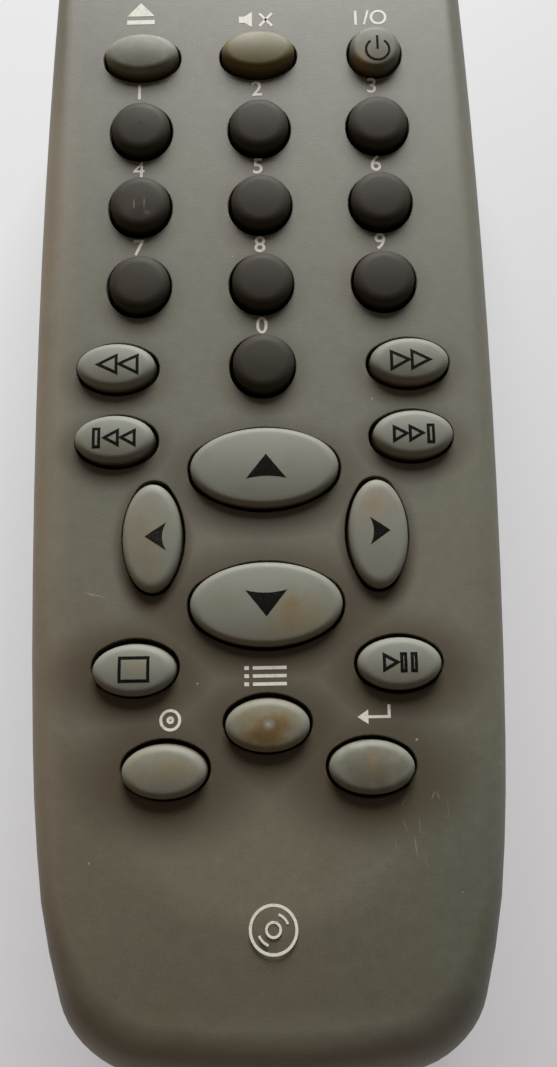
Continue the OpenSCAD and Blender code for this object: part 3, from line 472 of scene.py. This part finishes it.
def dark_rubber_material(name, stains=()):
    return key_rubber_material(name, colour(47, 43, 36), colour(43, 37, 29), colour(62, 58, 49), stains,
                               grime_and_shade=colour(12, 10, 8), speck=PALE_DUST, gloss=0.12)


pale_rubber = pale_rubber_material("pale_rubber")
dark_rubber = dark_rubber_material("dark_rubber")
yellowed_rubber = key_rubber_material(
    "yellowed_rubber", colour(82, 77, 40), colour(80, 66, 28), colour(92, 87, 56), cover=1.1,
    stains=[((-3.2, 46.0), (2.0, 1.6), DEEP_BROWN, 0.6), ((3.4, 46.2), (1.6, 1.4), DEEP_BROWN, 0.55)])
STAINED = {
    "menu": [((0, -33.1), (5.6, 3.8), colour(102, 95, 72), 0.9), ((0.1, -33.6), (3.6, 2.2), BROWN, 0.9),
             ((0.1, -33.3), (2.0, 1.5), DEEP_BROWN, 0.75), ((-0.7, -34.3), (2.4, 1.1), DEEP_BROWN, 0.85),
             ((1.4, -33.3), (1.2, 1.1), DEEP_BROWN, 0.6), ((0.1, -33.05), (0.75, 0.7), colour(122, 126, 122), 0.7),
             ((0.1, -33.05), (0.22, 0.22), colour(134, 138, 138), 0.8)],
    "down": [((3.3, -21.6), (4.2, 3.4), colour(110, 99, 72), 0.75), ((2.5, -21.6), (0.9, 3.0), BROWN, 0.4),
             ((2.7, -20.4), (1.5, 0.8), BROWN, 0.55), ((-4.4, -20.0), (1.8, 1.4), BROWN, 0.18),
             ((0, -23.5), (5.0, 1.6), BROWN, 0.15)],
    "left": [((-13.0, -13.4), (3.4, 6.4), colour(108, 99, 78), 0.6), ((-13.4, -11.4), (0.8, 1.2), BROWN, 0.35),
             ((-12.4, -15.8), (1.8, 2.4), BROWN, 0.25)],
    "right": [((12.1, -10.2), (2.6, 3.4), colour(112, 101, 80), 0.6), ((11.9, -9.7), (1.2, 1.2), BROWN, 0.3),
              ((12.6, -15.6), (1.9, 2.2), BROWN, 0.18)],
    "stop": [((-14.2, -27.2), (2.4, 1.5), BROWN, 0.25)],
    "play": [((13.0, -27.6), (2.4, 1.2), BROWN, 0.2)],
    "title": [((-10.7, -37.6), (5.4, 3.4), colour(102, 96, 78), 0.85), ((-9.4, -37.2), (1.3, 0.8), BROWN, 0.3),
              ((-12.8, -37.9), (1.3, 0.8), BROWN, 0.25)],
    "enter": [((10.8, -37.7), (5.6, 3.6), colour(85, 82, 67), 0.9), ((10.7, -37.2), (0.6, 2.0), BROWN, 0.5),
              ((11.5, -36.6), (1.4, 0.7), BROWN, 0.35)],
    "power": [((14.2, 46.8), (9.0, 9.0), colour(76, 73, 56), 0.95), ((12.6, 45.6), (1.6, 1.8), BROWN, 0.8)],
    "open": [((-14.2, 47.2), (6.4, 4.6), colour(86, 84, 67), 0.95)],
    "one": [((-14.15, 37.35), (0.32, 0.34), colour(20, 17, 14), 0.8)],
    "four": [((-15.4, 26.2), (1.2, 1.6), colour(66, 58, 48), 0.4), ((-13.2, 25.6), (0.5, 0.3), colour(96, 88, 74), 0.5),
             ((-14.7, 26.6), (0.14, 0.8), PALE_DUST, 0.6), ((-13.5, 26.8), (0.14, 0.9), PALE_DUST, 0.6)],
    "seven": [((-14.9, 16.4), (1.6, 1.2), colour(62, 54, 45), 0.4)],
    "previous": [((-17.2, -2.6), (2.4, 1.4), colour(106, 100, 82), 0.5)],
    "rewind": [((-17.4, 6.0), (2.8, 1.6), colour(106, 102, 84), 0.5)],
    "forward": [((16.0, 6.4), (5.6, 3.6), colour(91, 91, 80), 0.8)],
}

carbon, tree, place = start_material("carbon_pill")
weave = effect(tree, moulded_grain, place, grain_per_metre=9000, coarseness=1)
surface(tree, blend_colour(tree, weave, colour(22, 22, 23), colour(44, 43, 42)), 0.75, (weave, 0.4, 0.04))

key_gap = 0.25
key_edge_turn, key_edge_steps = 72, 12
crown_rings = (0.92, 0.82, 0.7, 0.56, 0.4, 0.22, 0.08)
pill_r = 1.8
pill_low, flange_low, flange_top = 16.9, 17.3, 18.2
key_top = face_z / mm + 1.48


def moulded_key(name, hole, top, edge):
    """Builds one key about the middle of its opening, from the carbon pill up.

    The edge is its reach inwards, its height and the height of the crown above it. It
    reaches further in along the longer side.
    """
    key_edge_h, key_edge_v, key_crown = edge
    bpy.ops.object.select_all(action='DESELECT')
    bpy.ops.mesh.primitive_circle_add(vertices=80, radius=mm, fill_type='NGON', location=(0, 0, pill_low * mm))
    piece = bpy.context.object
    piece.name = name
    bpy.ops.object.transform_apply()
    bpy.ops.object.mode_set(mode='EDIT')
    bpy.ops.mesh.select_all(action='SELECT')
    size = [1.0, 1.0]

    def to_size(half_l, half_b):
        bpy.ops.transform.resize(value=(half_l / size[0], half_b / size[1], 1), center_override=(0, 0, 0))
        size[:] = half_l, half_b

    def up(height, half_l, half_b):
        bpy.ops.mesh.extrude_region_move(TRANSFORM_OT_translate={"value": (0, 0, height * mm)})
        to_size(half_l, half_b)

    half_l, half_b = hole[0] / 2, hole[1] / 2
    body_l, body_b = top[0] / 2, top[1] / 2
    further_l, further_b = ((side / min(body_l, body_b)) ** 0.6 for side in (body_l, body_b))
    to_size(pill_r, pill_r)
    up(flange_low - pill_low, pill_r, pill_r)
    up(0, half_l + flange_lap, half_b + flange_lap)
    up(flange_top - flange_low, half_l + flange_lap, half_b + flange_lap)
    up(0, half_l - key_gap, half_b - key_gap)
    edge_z = key_top - key_crown - key_edge_v * math.sin(math.radians(key_edge_turn))
    up(edge_z - flange_top, body_l, body_b)
    reached = edge_z
    for i in range(1, key_edge_steps + 1):
        turn = math.radians(key_edge_turn * i / key_edge_steps)
        z = edge_z + key_edge_v * math.sin(turn)
        inset = key_edge_h * (1 - math.cos(turn))
        up(z - reached, body_l - inset * further_l, body_b - inset * further_b)
        reached = z
    crown_l, crown_b, crown_from = size[0], size[1], reached
    for share in crown_rings:
        z = crown_from + (key_top - crown_from) * (1 - share * share)
        up(z - reached, crown_l * share, crown_b * share)
        reached = z
    bpy.ops.mesh.select_all(action='SELECT')
    bpy.ops.mesh.normals_make_consistent(inside=False)
    bpy.ops.object.mode_set(mode='OBJECT')
    bpy.ops.object.shade_smooth_by_angle(angle=math.radians(40))
    return piece


# Opening and body of each kind of key, length and breadth, and its edge
oval = ((9.5, 6.3), (8.86, 5.46), (1.05, 0.85, 0.22))
wide = ((17.1, 9.7), (16.4, 9.05), (0.95, 0.72, 0.36))
upright = ((7, 12.8), (6.42, 12.0), (1.05, 0.78, 0.25))
small_round = ((6.7, 6.7), (6.15, 6.15), (1.0, 0.9, 0.16))
button = ((7.6, 7.6), (7.0, 7.0), (1.6, 1.0, 0.16))

# Each key: its place, how far its top leans off the middle of its opening, its kind and its rubber
KEYS = [
    ("open", -14.2, 47.0, (0, 0.25), oval, pale_rubber),
    ("mute", 0, 47.0, (0, 0.3), oval, yellowed_rubber),
    ("power", 14.2, 47.0, (0.05, 0.1), small_round, pale_rubber),
    ("one", -14.2, 36.95, (0, 0.2), button, dark_rubber),
    ("two", 0, 36.95, (0, 0.25), button, dark_rubber),
    ("three", 14.2, 36.95, (0.05, 0.25), button, dark_rubber),
    ("four", -14.2, 26.9, (0.05, 0.25), button, dark_rubber),
    ("five", 0, 26.9, (0.1, 0.25), button, dark_rubber),
    ("six", 14.2, 26.9, (0, 0.25), button, dark_rubber),
    ("seven", -14.2, 16.85, (0.1, 0.15), button, dark_rubber),
    ("eight", 0, 16.85, (0.15, 0.2), button, dark_rubber),
    ("nine", 14.2, 16.85, (0, 0.15), button, dark_rubber),
    ("zero", 0, 6.8, (0.15, 0.2), button, dark_rubber),
    ("rewind", -16.5, 6.8, (-0.1, 0.1), oval, pale_rubber),
    ("forward", 16.5, 6.8, (0.1, 0.05), oval, pale_rubber),
    ("previous", -16.5, -1.8, (-0.15, 0.15), oval, pale_rubber),
    ("next", 16.5, -1.8, (0.15, 0.05), oval, pale_rubber),
    ("up", 0, -5.3, (0.05, 0.1), wide, pale_rubber),
    ("left", -12.25, -12.8, (-0.05, -0.15), upright, pale_rubber),
    ("right", 12.25, -12.8, (0.1, -0.1), upright, pale_rubber),
    ("down", 0, -20.5, (0.05, 0.1), wide, pale_rubber),
    ("stop", -14.05, -26.95, (0, -0.25), oval, pale_rubber),
    ("play", 14.05, -26.95, (0, 0), oval, pale_rubber),
    ("menu", 0, -32.95, (0, -0.2), oval, pale_rubber),
    ("title", -10.75, -37.5, (-0.05, -0.2), oval, pale_rubber),
    ("enter", 10.75, -37.5, (0, -0.05), oval, pale_rubber),
]
patterns = {}
key_pieces = {}
for name, x, y, lean, kind, rubber in KEYS:
    if kind not in patterns:
        patterns[kind] = moulded_key("key_pattern", *kind)
    piece = new_object("rubber_" + name, patterns[kind].data.copy())
    piece.location = in_metres(x, y)
    only(piece)
    bpy.ops.object.transform_apply()
    bpy.ops.object.mode_set(mode='EDIT')
    select_edges(piece, wanted=lambda end: end.z > (flange_top + 0.1) * mm)
    bpy.ops.transform.translate(value=in_metres(*lean))
    bpy.ops.object.mode_set(mode='OBJECT')
    if name in STAINED:
        stained_material = dark_rubber_material if rubber is dark_rubber else pale_rubber_material
        rubber = stained_material(rubber.name + "_" + name, STAINED[name])
    dress(piece, rubber, "key_" + name, "key_" + name)
    piece.data.materials.append(carbon)
    for face in piece.data.polygons:
        if face.center.z < (flange_low - 0.05) * mm:
            face.material_index = 1
    key_pieces[name] = piece
for pattern in patterns.values():
    bpy.data.objects.remove(pattern)


# ---- Printed symbols on the keys ----
# Black ink pad-printed on the pale keys, in the usual signs of such keys. The
# print follows each key's crowned top and is worn thin on the left key.

def placed(corners, x, y, facing):
    """Corners drawn facing right, put about (x, y); facing is 0 for right, 90 for up and so on."""
    turn = math.radians(facing)
    return [(x + a * math.cos(turn) - b * math.sin(turn), y + a * math.sin(turn) + b * math.cos(turn))
            for a, b in corners]


def triangle(x, y, length, breadth, facing):
    return placed([(length / 2, 0), (-length / 2, breadth / 2), (-length / 2, -breadth / 2)], x, y, facing)


def arrow_head(x, y, length, breadth, facing, hollow):
    """A filled arrow head whose base curves inwards."""
    base = [(-length / 2 + hollow * length * (1 - t * t), breadth / 2 * t) for t in (i / 4 for i in range(4, -5, -1))]
    return placed([(length / 2, 0)] + base, x, y, facing)


def box(x, y, length, breadth):
    return [(x + a * length / 2, y + b * breadth / 2) for a, b in ((-1, -1), (1, -1), (1, 1), (-1, 1))]


def outlined(loop, stroke=0.34):
    """A loop and the same loop moved inwards by the stroke, so that only a line between them is printed."""
    area = sum(a[0] * b[1] - b[0] * a[1] for a, b in zip(loop, loop[1:] + loop[:1])) / 2
    side = 1 if area > 0 else -1
    inner = []
    for before, here, after in zip(loop[-1:] + loop[:-1], loop, loop[1:] + loop[:1]):
        first = Vector((here[0] - before[0], here[1] - before[1])).normalized()
        second = Vector((after[0] - here[0], after[1] - here[1])).normalized()
        turn = first.x * second.y - first.y * second.x
        move = (second - first) * (stroke / turn) if abs(turn) > 0.001 else Vector((-first.y, first.x)) * stroke * side
        inner.append((here[0] + move.x, here[1] + move.y))
    return [loop, inner]


def arc_band(x, y, radius, stroke, start=0, stop=359.9):
    """A curved stroke about (x, y) from one direction to another, in degrees."""
    steps = max(6, int(abs(stop - start) / 10))
    turns = [math.radians(start + (stop - start) * i / steps) for i in range(steps + 1)]
    outer, inner = ([(x + (radius + edge) * math.cos(t), y + (radius + edge) * math.sin(t)) for t in turns]
                    for edge in (stroke / 2, -stroke / 2))
    return outer + inner[::-1]


def ink_shape(name, loops, height, thickness):
    """A flat print of the loops, in millimetres, with its lower side at the height."""
    drawn = bpy.data.curves.new(name, 'CURVE')
    drawn.dimensions = '2D'
    drawn.fill_mode = 'BOTH'
    for loop in loops:
        line = drawn.splines.new('POLY')
        line.points.add(len(loop) - 1)
        for point, (x, y) in zip(line.points, loop):
            point.co = (*in_metres(x, y), 1)
        line.use_cyclic_u = True
    drawn.extrude = thickness / 2 * mm
    piece = new_object(name, drawn)
    only(piece)
    bpy.ops.object.convert(target='MESH')
    piece.location.z = (height + thickness / 2) * mm
    bpy.ops.object.transform_apply()
    return piece


def printed_sign(name, shapes, height, thickness):
    """One piece of all the shapes of a sign, each a list of loops."""
    parts = [ink_shape(name, shape, height, thickness) for shape in shapes]
    only(parts[0])
    for part in parts:
        part.select_set(True)
    if len(parts) > 1:
        bpy.ops.object.join()
    return parts[0]


film_lift, film_thickness = 0.012, 0.03
film_cell, cut_merge = 0.45, 0.001


def lay_on_key(piece, key):
    """Cuts a flat print into small cells and lays it on the crowned top of its key."""
    bpy.ops.object.mode_set(mode='EDIT')
    bpy.ops.mesh.select_all(action='SELECT')
    bpy.ops.mesh.remove_doubles(threshold=cut_merge * mm)
    places = [vert.co.copy() for vert in piece.data.vertices]
    for axis in (0, 1):
        low, high = min(co[axis] for co in places), max(co[axis] for co in places)
        cuts = int((high - low) / (film_cell * mm)) + 1
        for i in range(1, cuts):
            spot, normal = [0, 0, 0], [0, 0, 0]
            spot[axis], normal[axis] = low + (high - low) * i / cuts, 1
            bpy.ops.mesh.select_all(action='SELECT')
            bpy.ops.mesh.bisect(plane_co=spot, plane_no=normal, threshold=cut_merge * mm)
    bpy.ops.object.mode_set(mode='OBJECT')
    apply_modifier(piece, "lie_on_top", 'SHRINKWRAP', wrap_method='PROJECT', use_project_z=True,
                   use_negative_direction=True, use_positive_direction=False, offset=film_lift * mm, target=key)
    apply_modifier(piece, "film", 'SOLIDIFY', thickness=film_thickness * mm, offset=-1)


def patchy_material(name, tones, patches, grain, roughness, relief, gloss=0.5, metal=0.0):
    """A finish in two tones, fresh and worn, with its roughness where it is fresh and where it is worn.

    The patches are their number per metre and cover, the grain its number per metre and
    coarseness, and the relief how strongly the grain shows and its depth in millimetres.
    """
    material, tree, place = start_material(name)
    worn = effect(tree, soiling, place, patches_per_metre=patches[0], cover=patches[1])
    height = effect(tree, moulded_grain, place, grain_per_metre=grain[0], coarseness=grain[1])
    rough = roughness[0] if roughness[0] == roughness[1] else ramp(tree, worn, 0.0, 1.0, *roughness)
    surface(tree, blend_colour(tree, worn, *tones), rough, (height, *relief), gloss, metal)
    return material


def black_ink_material(name, worn):
    return patchy_material(name, (colour(9, 8, 6), colour(66, 62, 52)), (4200, worn), (9000, 0.6), (0.85, 0.85),
                           (0.15, 0.03), gloss=0.1)


black_ink = black_ink_material("black_ink", 0.35)
worn_ink = black_ink_material("worn_ink", 0.65)

SYMBOLS = {
    "power": [[arc_band(14.5, 46.55, 1.4, 0.3, 125, 415)], [box(14.5, 47.5, 0.3, 1.9)]],
    "rewind": [outlined(triangle(-17.55, 6.9, 2.6, 2.6, 180)), outlined(triangle(-15.2, 6.9, 2.6, 2.6, 180))],
    "forward": [outlined(triangle(15.6, 6.7, 2.5, 2.6, 0)), outlined(triangle(17.9, 6.7, 2.5, 2.6, 0))],
    "previous": [outlined(box(-18.5, -1.7, 0.95, 2.4)), outlined(triangle(-16.95, -1.72, 2.0, 2.2, 180)),
                 outlined(triangle(-15.1, -1.72, 2.0, 2.2, 180))],
    "next": [outlined(triangle(15.25, -1.9, 1.9, 2.15, 0)), outlined(triangle(17.0, -1.9, 1.9, 2.15, 0)),
             outlined(box(18.5, -1.95, 0.9, 2.25))],
    "stop": [outlined(box(-13.97, -27.15, 3.35, 2.75))],
    "play": [outlined(triangle(13.15, -26.87, 1.9, 2.15, 0)), outlined(box(14.4, -26.9, 0.75, 2.1)),
             outlined(box(15.5, -26.9, 0.75, 2.1))],
    "up": [[arrow_head(0.26, -5.3, 2.75, 4.4, 90, 0.09)]],
    "down": [[arrow_head(0.1, -20.4, 2.85, 4.5, 270, 0.11)]],
    "left": [[arrow_head(-11.8, -12.95, 2.35, 3.15, 180, 0.2)]],
    "right": [[arrow_head(12.5, -12.75, 2.2, 3.1, 0, 0.18)]],
}
for name, shapes in SYMBOLS.items():
    symbol = printed_sign("symbol_" + name, shapes, key_top + 1, 0)
    lay_on_key(symbol, key_pieces[name])
    dress(symbol, worn_ink if name == "left" else black_ink, "key_" + name)


# ---- Printed marks on the face ----
# Pale ink screen-printed on the flat field: a number above each round key, plain
# signs above the others, and a plain disc at the lower end.

pale_ink = patchy_material("pale_ink", (colour(202, 200, 189), colour(160, 156, 144)), (2600, 0.5), (5200, 0.5),
                           (0.6, 0.6), (0.15, 0.03), gloss=0.3)
ink_t = 0.02
face_mm = face_z / mm
number_height = 1.95
capital_share = 0.7


def printed_number(number, x, y):
    bpy.ops.object.select_all(action='DESELECT')
    bpy.ops.object.text_add(location=(0, 0, 0))
    piece = bpy.context.object
    piece.name = "number_" + number
    piece.data.body = number
    piece.data.size = number_height * mm / capital_share
    piece.data.align_x = 'CENTER'
    piece.data.align_y = 'CENTER'
    piece.data.offset = 0.03 * mm
    piece.data.resolution_u = 8
    piece.data.extrude = ink_t / 2 * mm
    bpy.ops.object.convert(target='MESH')
    piece.location = in_metres(x, y, face_mm + ink_t / 2)
    bpy.ops.object.transform_apply()
    return piece


for number, x, y in (("1", -14.5, 42.38), ("2", -0.2, 42.51), ("3", 13.75, 42.56), ("4", -14.4, 31.91),
                     ("5", -0.2, 32.06), ("6", 13.85, 32.06), ("7", -14.35, 21.76), ("8", -0.1, 21.86),
                     ("9", 13.95, 21.91), ("0", 0, 11.71)):
    dress(printed_number(number, x, y), pale_ink, "case")

mark_w = 0.3
MARKS = {
    "eject": [[triangle(-14.45, 54.1, 1.9, 3.4, 90)], [box(-14.45, 52.3, 3.4, 0.6)]],
    "silence": [[[(-2.3, 51.85), (-1.6, 51.85), (-0.7, 51.2), (-0.7, 53.4), (-1.6, 52.75), (-2.3, 52.75)]],
                [[(0.1, 51.45), (0.35, 51.25), (1.9, 53.05), (1.65, 53.25)]],
                [[(1.65, 51.25), (1.9, 51.45), (0.35, 53.25), (0.1, 53.05)]]],
    "on_off": [[box(12.1, 52.2, mark_w, 2.0)], [arc_band(14.9, 52.2, 0.88, mark_w)],
               [[(13.0, 51.2), (13.25, 51.2), (13.75, 53.2), (13.5, 53.2)]]],
    "list": [[box(x, -28.0 + step, length, width)] for x, length, width in ((0.3, 3.6, 0.36), (-2.15, 0.5, 0.4))
             for step in (-0.85, 0, 0.85)],
    "track": [[arc_band(-10.25, -32.45, 1.0, mark_w)], [arc_band(-10.25, -32.45, 0.25, mark_w)]],
    "return": [[[(12.65, -31.2), (12.95, -31.2), (12.95, -32.6), (10.6, -32.6), (10.6, -33.2), (9.45, -32.45),
                 (10.6, -31.7), (10.6, -32.3), (12.65, -32.3)]]],
    "disc": [[arc_band(0.3, -53.3, 2.35, 0.3)], [arc_band(0.3, -53.3, 0.72, 0.26)],
             [arc_band(0.3, -53.3, 1.55, 0.24, 20, 70)], [arc_band(0.3, -53.3, 1.55, 0.24, 200, 250)]],
}
for name, shapes in MARKS.items():
    dress(printed_sign("mark_" + name, shapes, face_mm, ink_t), pale_ink, "case")


# ---- Back of the case and the battery door ----
# The lower moulding and its sliding door, from the same plastic as the front.

back_moulding = merged_copy("back_moulding", "rear_shell")
round_parting_edge(back_moulding)
smooth_finish(back_moulding)
dress(back_moulding, case_plastic, "case", "rear_shell")

door_moulding = merged_copy("door_moulding", "battery_door")
smooth_finish(door_moulding)
dress(door_moulding, case_plastic, "door", "battery_door")


# ---- Infrared window ----
# A smoked polycarbonate window that closes the notch in the upper end. It is
# clear to infrared, and looks nearly black, with a polished outer face.

smoked_window = patchy_material("smoked_window", (colour(22, 12, 17), colour(40, 30, 32)), (420, 0.6), (900, 0.5),
                                (0.09, 0.28), (0.06, 0.03))
window_round, outer_depth = 0.12, 0.5
window_moulding = merged_copy("window_moulding", "ir_window")
end_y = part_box("ir_window")[1][1]
round_edges(window_moulding, window_round, 3, wanted=lambda end: end.y > end_y - outer_depth * mm,
            sharper_than=28.6, outer=True)
smooth_finish(window_moulding)
dress(window_moulding, smoked_window, "case", "ir_window")


# ---- Keypad mat ----
# One thin sheet of dark silicone that frames the keys' flanges and lies on the
# board. Only a sliver of it shows, down in the gaps round the keys.

mat_rubber = key_rubber_material(
    "mat_rubber", colour(62, 57, 50), colour(54, 48, 41), colour(72, 67, 60), grime_and_shade=colour(46, 41, 34), gloss=0.2)


def finish_node(node, material):
    """Gives a CAD node its material as it stands."""
    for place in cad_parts[node].material_slots:
        place.material = material


finish_node("keypad_mat", mat_rubber)


# ---- Circuit board and its contacts ----
# Green solder mask over paper laminate, with the copper tracks faintly raised
# under the mask. The 26 contacts are interleaved fingers of printed carbon.

def stripes(tree, at, spacing, width):
    """Stripes of a width in millimetres, whose middles lie a spacing apart."""
    return maths(tree, 'LESS_THAN', maths(tree, 'PINGPONG', at, spacing / 2 * mm), width / 2 * mm)


board_low, board_high = (corner[2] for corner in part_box("circuit_board"))
solder_mask, tree, place = start_material("solder_mask")
across, along, height = (axis_of(tree, place, axis) for axis in 'XYZ')
areas = add_node(tree, 'ShaderNodeTexVoronoi', {'Vector': place, 'Scale': 130.0}, distance='CHEBYCHEV')
drawn = add_node(tree, 'ShaderNodeSeparateColor', {0: areas.outputs['Color']})
tracks = add_node(tree, 'ShaderNodeMix', {
    0: maths(tree, 'LESS_THAN', drawn.outputs[0], 0.5), 2: stripes(tree, across, 1.4, 0.4),
    3: stripes(tree, along, 1.4, 0.4)}, data_type='FLOAT').outputs[0]
cut_edge = maths(tree, 'MULTIPLY', maths(tree, 'GREATER_THAN', height, board_low + 0.03 * mm),
                 maths(tree, 'LESS_THAN', height, board_high - 0.03 * mm))
fibres = effect(tree, moulded_grain, place, grain_per_metre=3000, coarseness=0.8)
mask_tone = blend_colour(tree, tracks, colour(22, 64, 38), colour(44, 96, 58))
mask_tone = tint(tree, mask_tone, fibres, 0.25, colour(16, 44, 28))
laminate = blend_colour(tree, fibres, colour(128, 96, 58), colour(164, 132, 88))
surface(tree, blend_colour(tree, cut_edge, mask_tone, laminate), ramp(tree, cut_edge, 0.0, 1.0, 0.32, 0.8),
        (tracks, 0.5, 0.03))
finish_node("circuit_board", solder_mask)

carbon_print, tree, place = start_material("carbon_print")
gaps = stripes(tree, axis_of(tree, place, 'X'), 0.6, 0.24)
powder = effect(tree, moulded_grain, place, grain_per_metre=12000, coarseness=0.5)
pad_tone = tint(tree, blend_colour(tree, gaps, colour(20, 20, 21), colour(20, 46, 32)), powder, 0.3, colour(52, 52, 52))
surface(tree, pad_tone, ramp(tree, gaps, 0.0, 1.0, 0.7, 0.4), (powder, 0.3, 0.02))
finish_node("contact_pads", carbon_print)


# ---- Electronic components ----
# Parts with moulded, dipped or sleeved bodies, and tinned leads that are soldered
# to the board: the chip, transistor, chip resistors, resonator and capacitor.

def outside(tree, at, near, far):
    """1 before the one place and past the other, and 0 between them."""
    return maths(tree, 'MAXIMUM', maths(tree, 'LESS_THAN', at, near), maths(tree, 'GREATER_THAN', at, far))


def component_material(name, body, body_wear, roughness, axis, near, far, gloss=0.5):
    """A coloured body with bare tinned metal beyond the two places along an axis."""
    material, tree, place = start_material(name)
    bare = outside(tree, axis_of(tree, place, axis), near, far)
    grain = effect(tree, moulded_grain, place, grain_per_metre=7000, coarseness=0.6)
    dull = effect(tree, soiling, place, patches_per_metre=700, cover=0.6)
    tinned = blend_colour(tree, dull, colour(196, 194, 188), colour(150, 146, 138))
    coat = blend_colour(tree, dull, body, body_wear)
    surface(tree, blend_colour(tree, bare, coat, tinned), ramp(tree, dull, 0.0, 1.0, roughness, roughness + 0.12),
            (grain, 0.25, 0.02), gloss, bare)
    return material


def rounded_copy(name, node, radius, material, segments=2, longer_than=0):
    """A copy of a CAD node with its sharp edges rounded, in place of the node."""
    piece = merged_copy(name, node)
    round_edges(piece, radius, segments, sharper_than=35, longer_than=longer_than)
    smooth_finish(piece)
    dress(piece, material, "case", node)


low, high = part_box("controller_chip")
chip_black = component_material("chip_black", colour(30, 30, 31), colour(48, 47, 46), 0.6, 'Y',
                                low[1] + 1.65 * mm, high[1] - 1.65 * mm)
rounded_copy("chip_body", "controller_chip", 0.05, chip_black)

low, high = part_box("transistor")
transistor_black = component_material("transistor_black", colour(28, 28, 29), colour(44, 43, 42), 0.55, 'Z',
                                      0.0, high[2] - 1.02 * mm)
rounded_copy("transistor_body", "transistor", 0.04, transistor_black)

low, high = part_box("resistors")
resistor_black = component_material("resistor_black", colour(24, 24, 26), colour(36, 36, 38), 0.35, 'Y',
                                    low[1] + 0.4 * mm, high[1] - 0.4 * mm)
rounded_copy("resistor_chips", "resistors", 0.06, resistor_black)

low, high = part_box("resonator")
resonator_amber = component_material("resonator_amber", colour(188, 122, 44), colour(150, 92, 34), 0.28, 'Z',
                                     0.0, high[2] - 0.58 * mm)
rounded_copy("resonator_body", "resonator", 0.3, resonator_amber, segments=3, longer_than=2.5)

low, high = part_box("capacitor")
capacitor_sleeve = component_material("capacitor_sleeve", colour(28, 36, 62), colour(40, 46, 66), 0.3, 'Y',
                                      low[1] + 1.45 * mm, high[1] - 0.04 * mm)
rounded_copy("capacitor_can", "capacitor", 0.08, capacitor_sleeve)


# ---- Infrared diode ----
# A 5 mm diode of water-clear epoxy with a faint blue tint. Its leads run back and
# turn up through the board.

low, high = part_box("ir_led")
blue_epoxy = component_material("blue_epoxy", colour(96, 108, 150), colour(112, 122, 156), 0.06, 'Y',
                                high[1] - 7.42 * mm, 1.0, gloss=0.6)
diode_body = merged_copy("diode_body", "ir_led")
smooth_finish(diode_body)
dress(diode_body, blue_epoxy, "case", "ir_led")


# ---- Battery contacts ----
# Conical coils of spring wire and flat tabs cut from strip, all nickel plated,
# with a little dull tarnish.

nickel_plate = patchy_material("nickel_plate", (colour(206, 202, 192), colour(158, 148, 130)), (380, 0.7),
                               (5000, 1.0), (0.2, 0.42), (0.12, 0.02), metal=1.0)
spring_wire = merged_copy("spring_wire", "battery_springs")
smooth_finish(spring_wire, 70)
dress(spring_wire, nickel_plate, "case", "battery_springs")
for name in ("spring_plate", "tab_plate", "link_plate"):
    rounded_copy("strip_" + name, name, 0.06, nickel_plate)


# ---- Cells ----
# Two small dry cells, turned opposite ways, in a plain printed sleeve with a bare
# crimped end and a button of plated steel.

for name, toward in (("cell_left", 1), ("cell_right", -1)):
    low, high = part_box(name)
    button_y = high[1] if toward == 1 else low[1]
    sleeve, tree, place = start_material("sleeve_" + name)
    from_button = maths(tree, 'MULTIPLY', maths(tree, 'SUBTRACT', button_y, axis_of(tree, place, 'Y')), toward)
    bare = outside(tree, from_button, 0.94 * mm, 44.46 * mm)
    band = maths(tree, 'LESS_THAN', from_button, 9.5 * mm)
    from_line = maths(tree, 'ABSOLUTE', maths(tree, 'SUBTRACT', from_button, 10.2 * mm))
    scuffs = effect(tree, soiling, place, patches_per_metre=300, cover=0.35)
    foil = effect(tree, moulded_grain, place, grain_per_metre=2500, coarseness=0.8)
    tone = blend_colour(tree, band, colour(34, 74, 62), colour(176, 178, 172))
    tone = blend_colour(tree, maths(tree, 'LESS_THAN', from_line, 0.3 * mm), tone, colour(206, 206, 198))
    tone = tint(tree, tone, scuffs, 0.5, colour(120, 124, 116))
    tone = blend_colour(tree, bare, tone, colour(198, 196, 190))
    surface(tree, tone, ramp(tree, scuffs, 0.0, 1.0, 0.24, 0.45), (foil, 0.08, 0.03), metal=bare)
    rounded_copy("dry_" + name, name, 0.3, sleeve, segments=3)


# ---- Case screw ----
# A zinc-plated self-tapping screw with a cross recess, driven from the battery bay.

zinc_plate, tree, place = start_material("zinc_plate")
tarnish = effect(tree, soiling, place, patches_per_metre=900, cover=0.7)
thread = maths(tree, 'PINGPONG', axis_of(tree, place, 'Z'), 0.45 * mm)
surface(tree, blend_colour(tree, tarnish, colour(186, 188, 192), colour(150, 146, 130)),
        ramp(tree, tarnish, 0.0, 1.0, 0.25, 0.45), (maths(tree, 'MULTIPLY', thread, 2000.0), 0.3, 0.2), metal=1.0)
rounded_copy("screw_body", "case_screw", 0.12, zinc_plate)
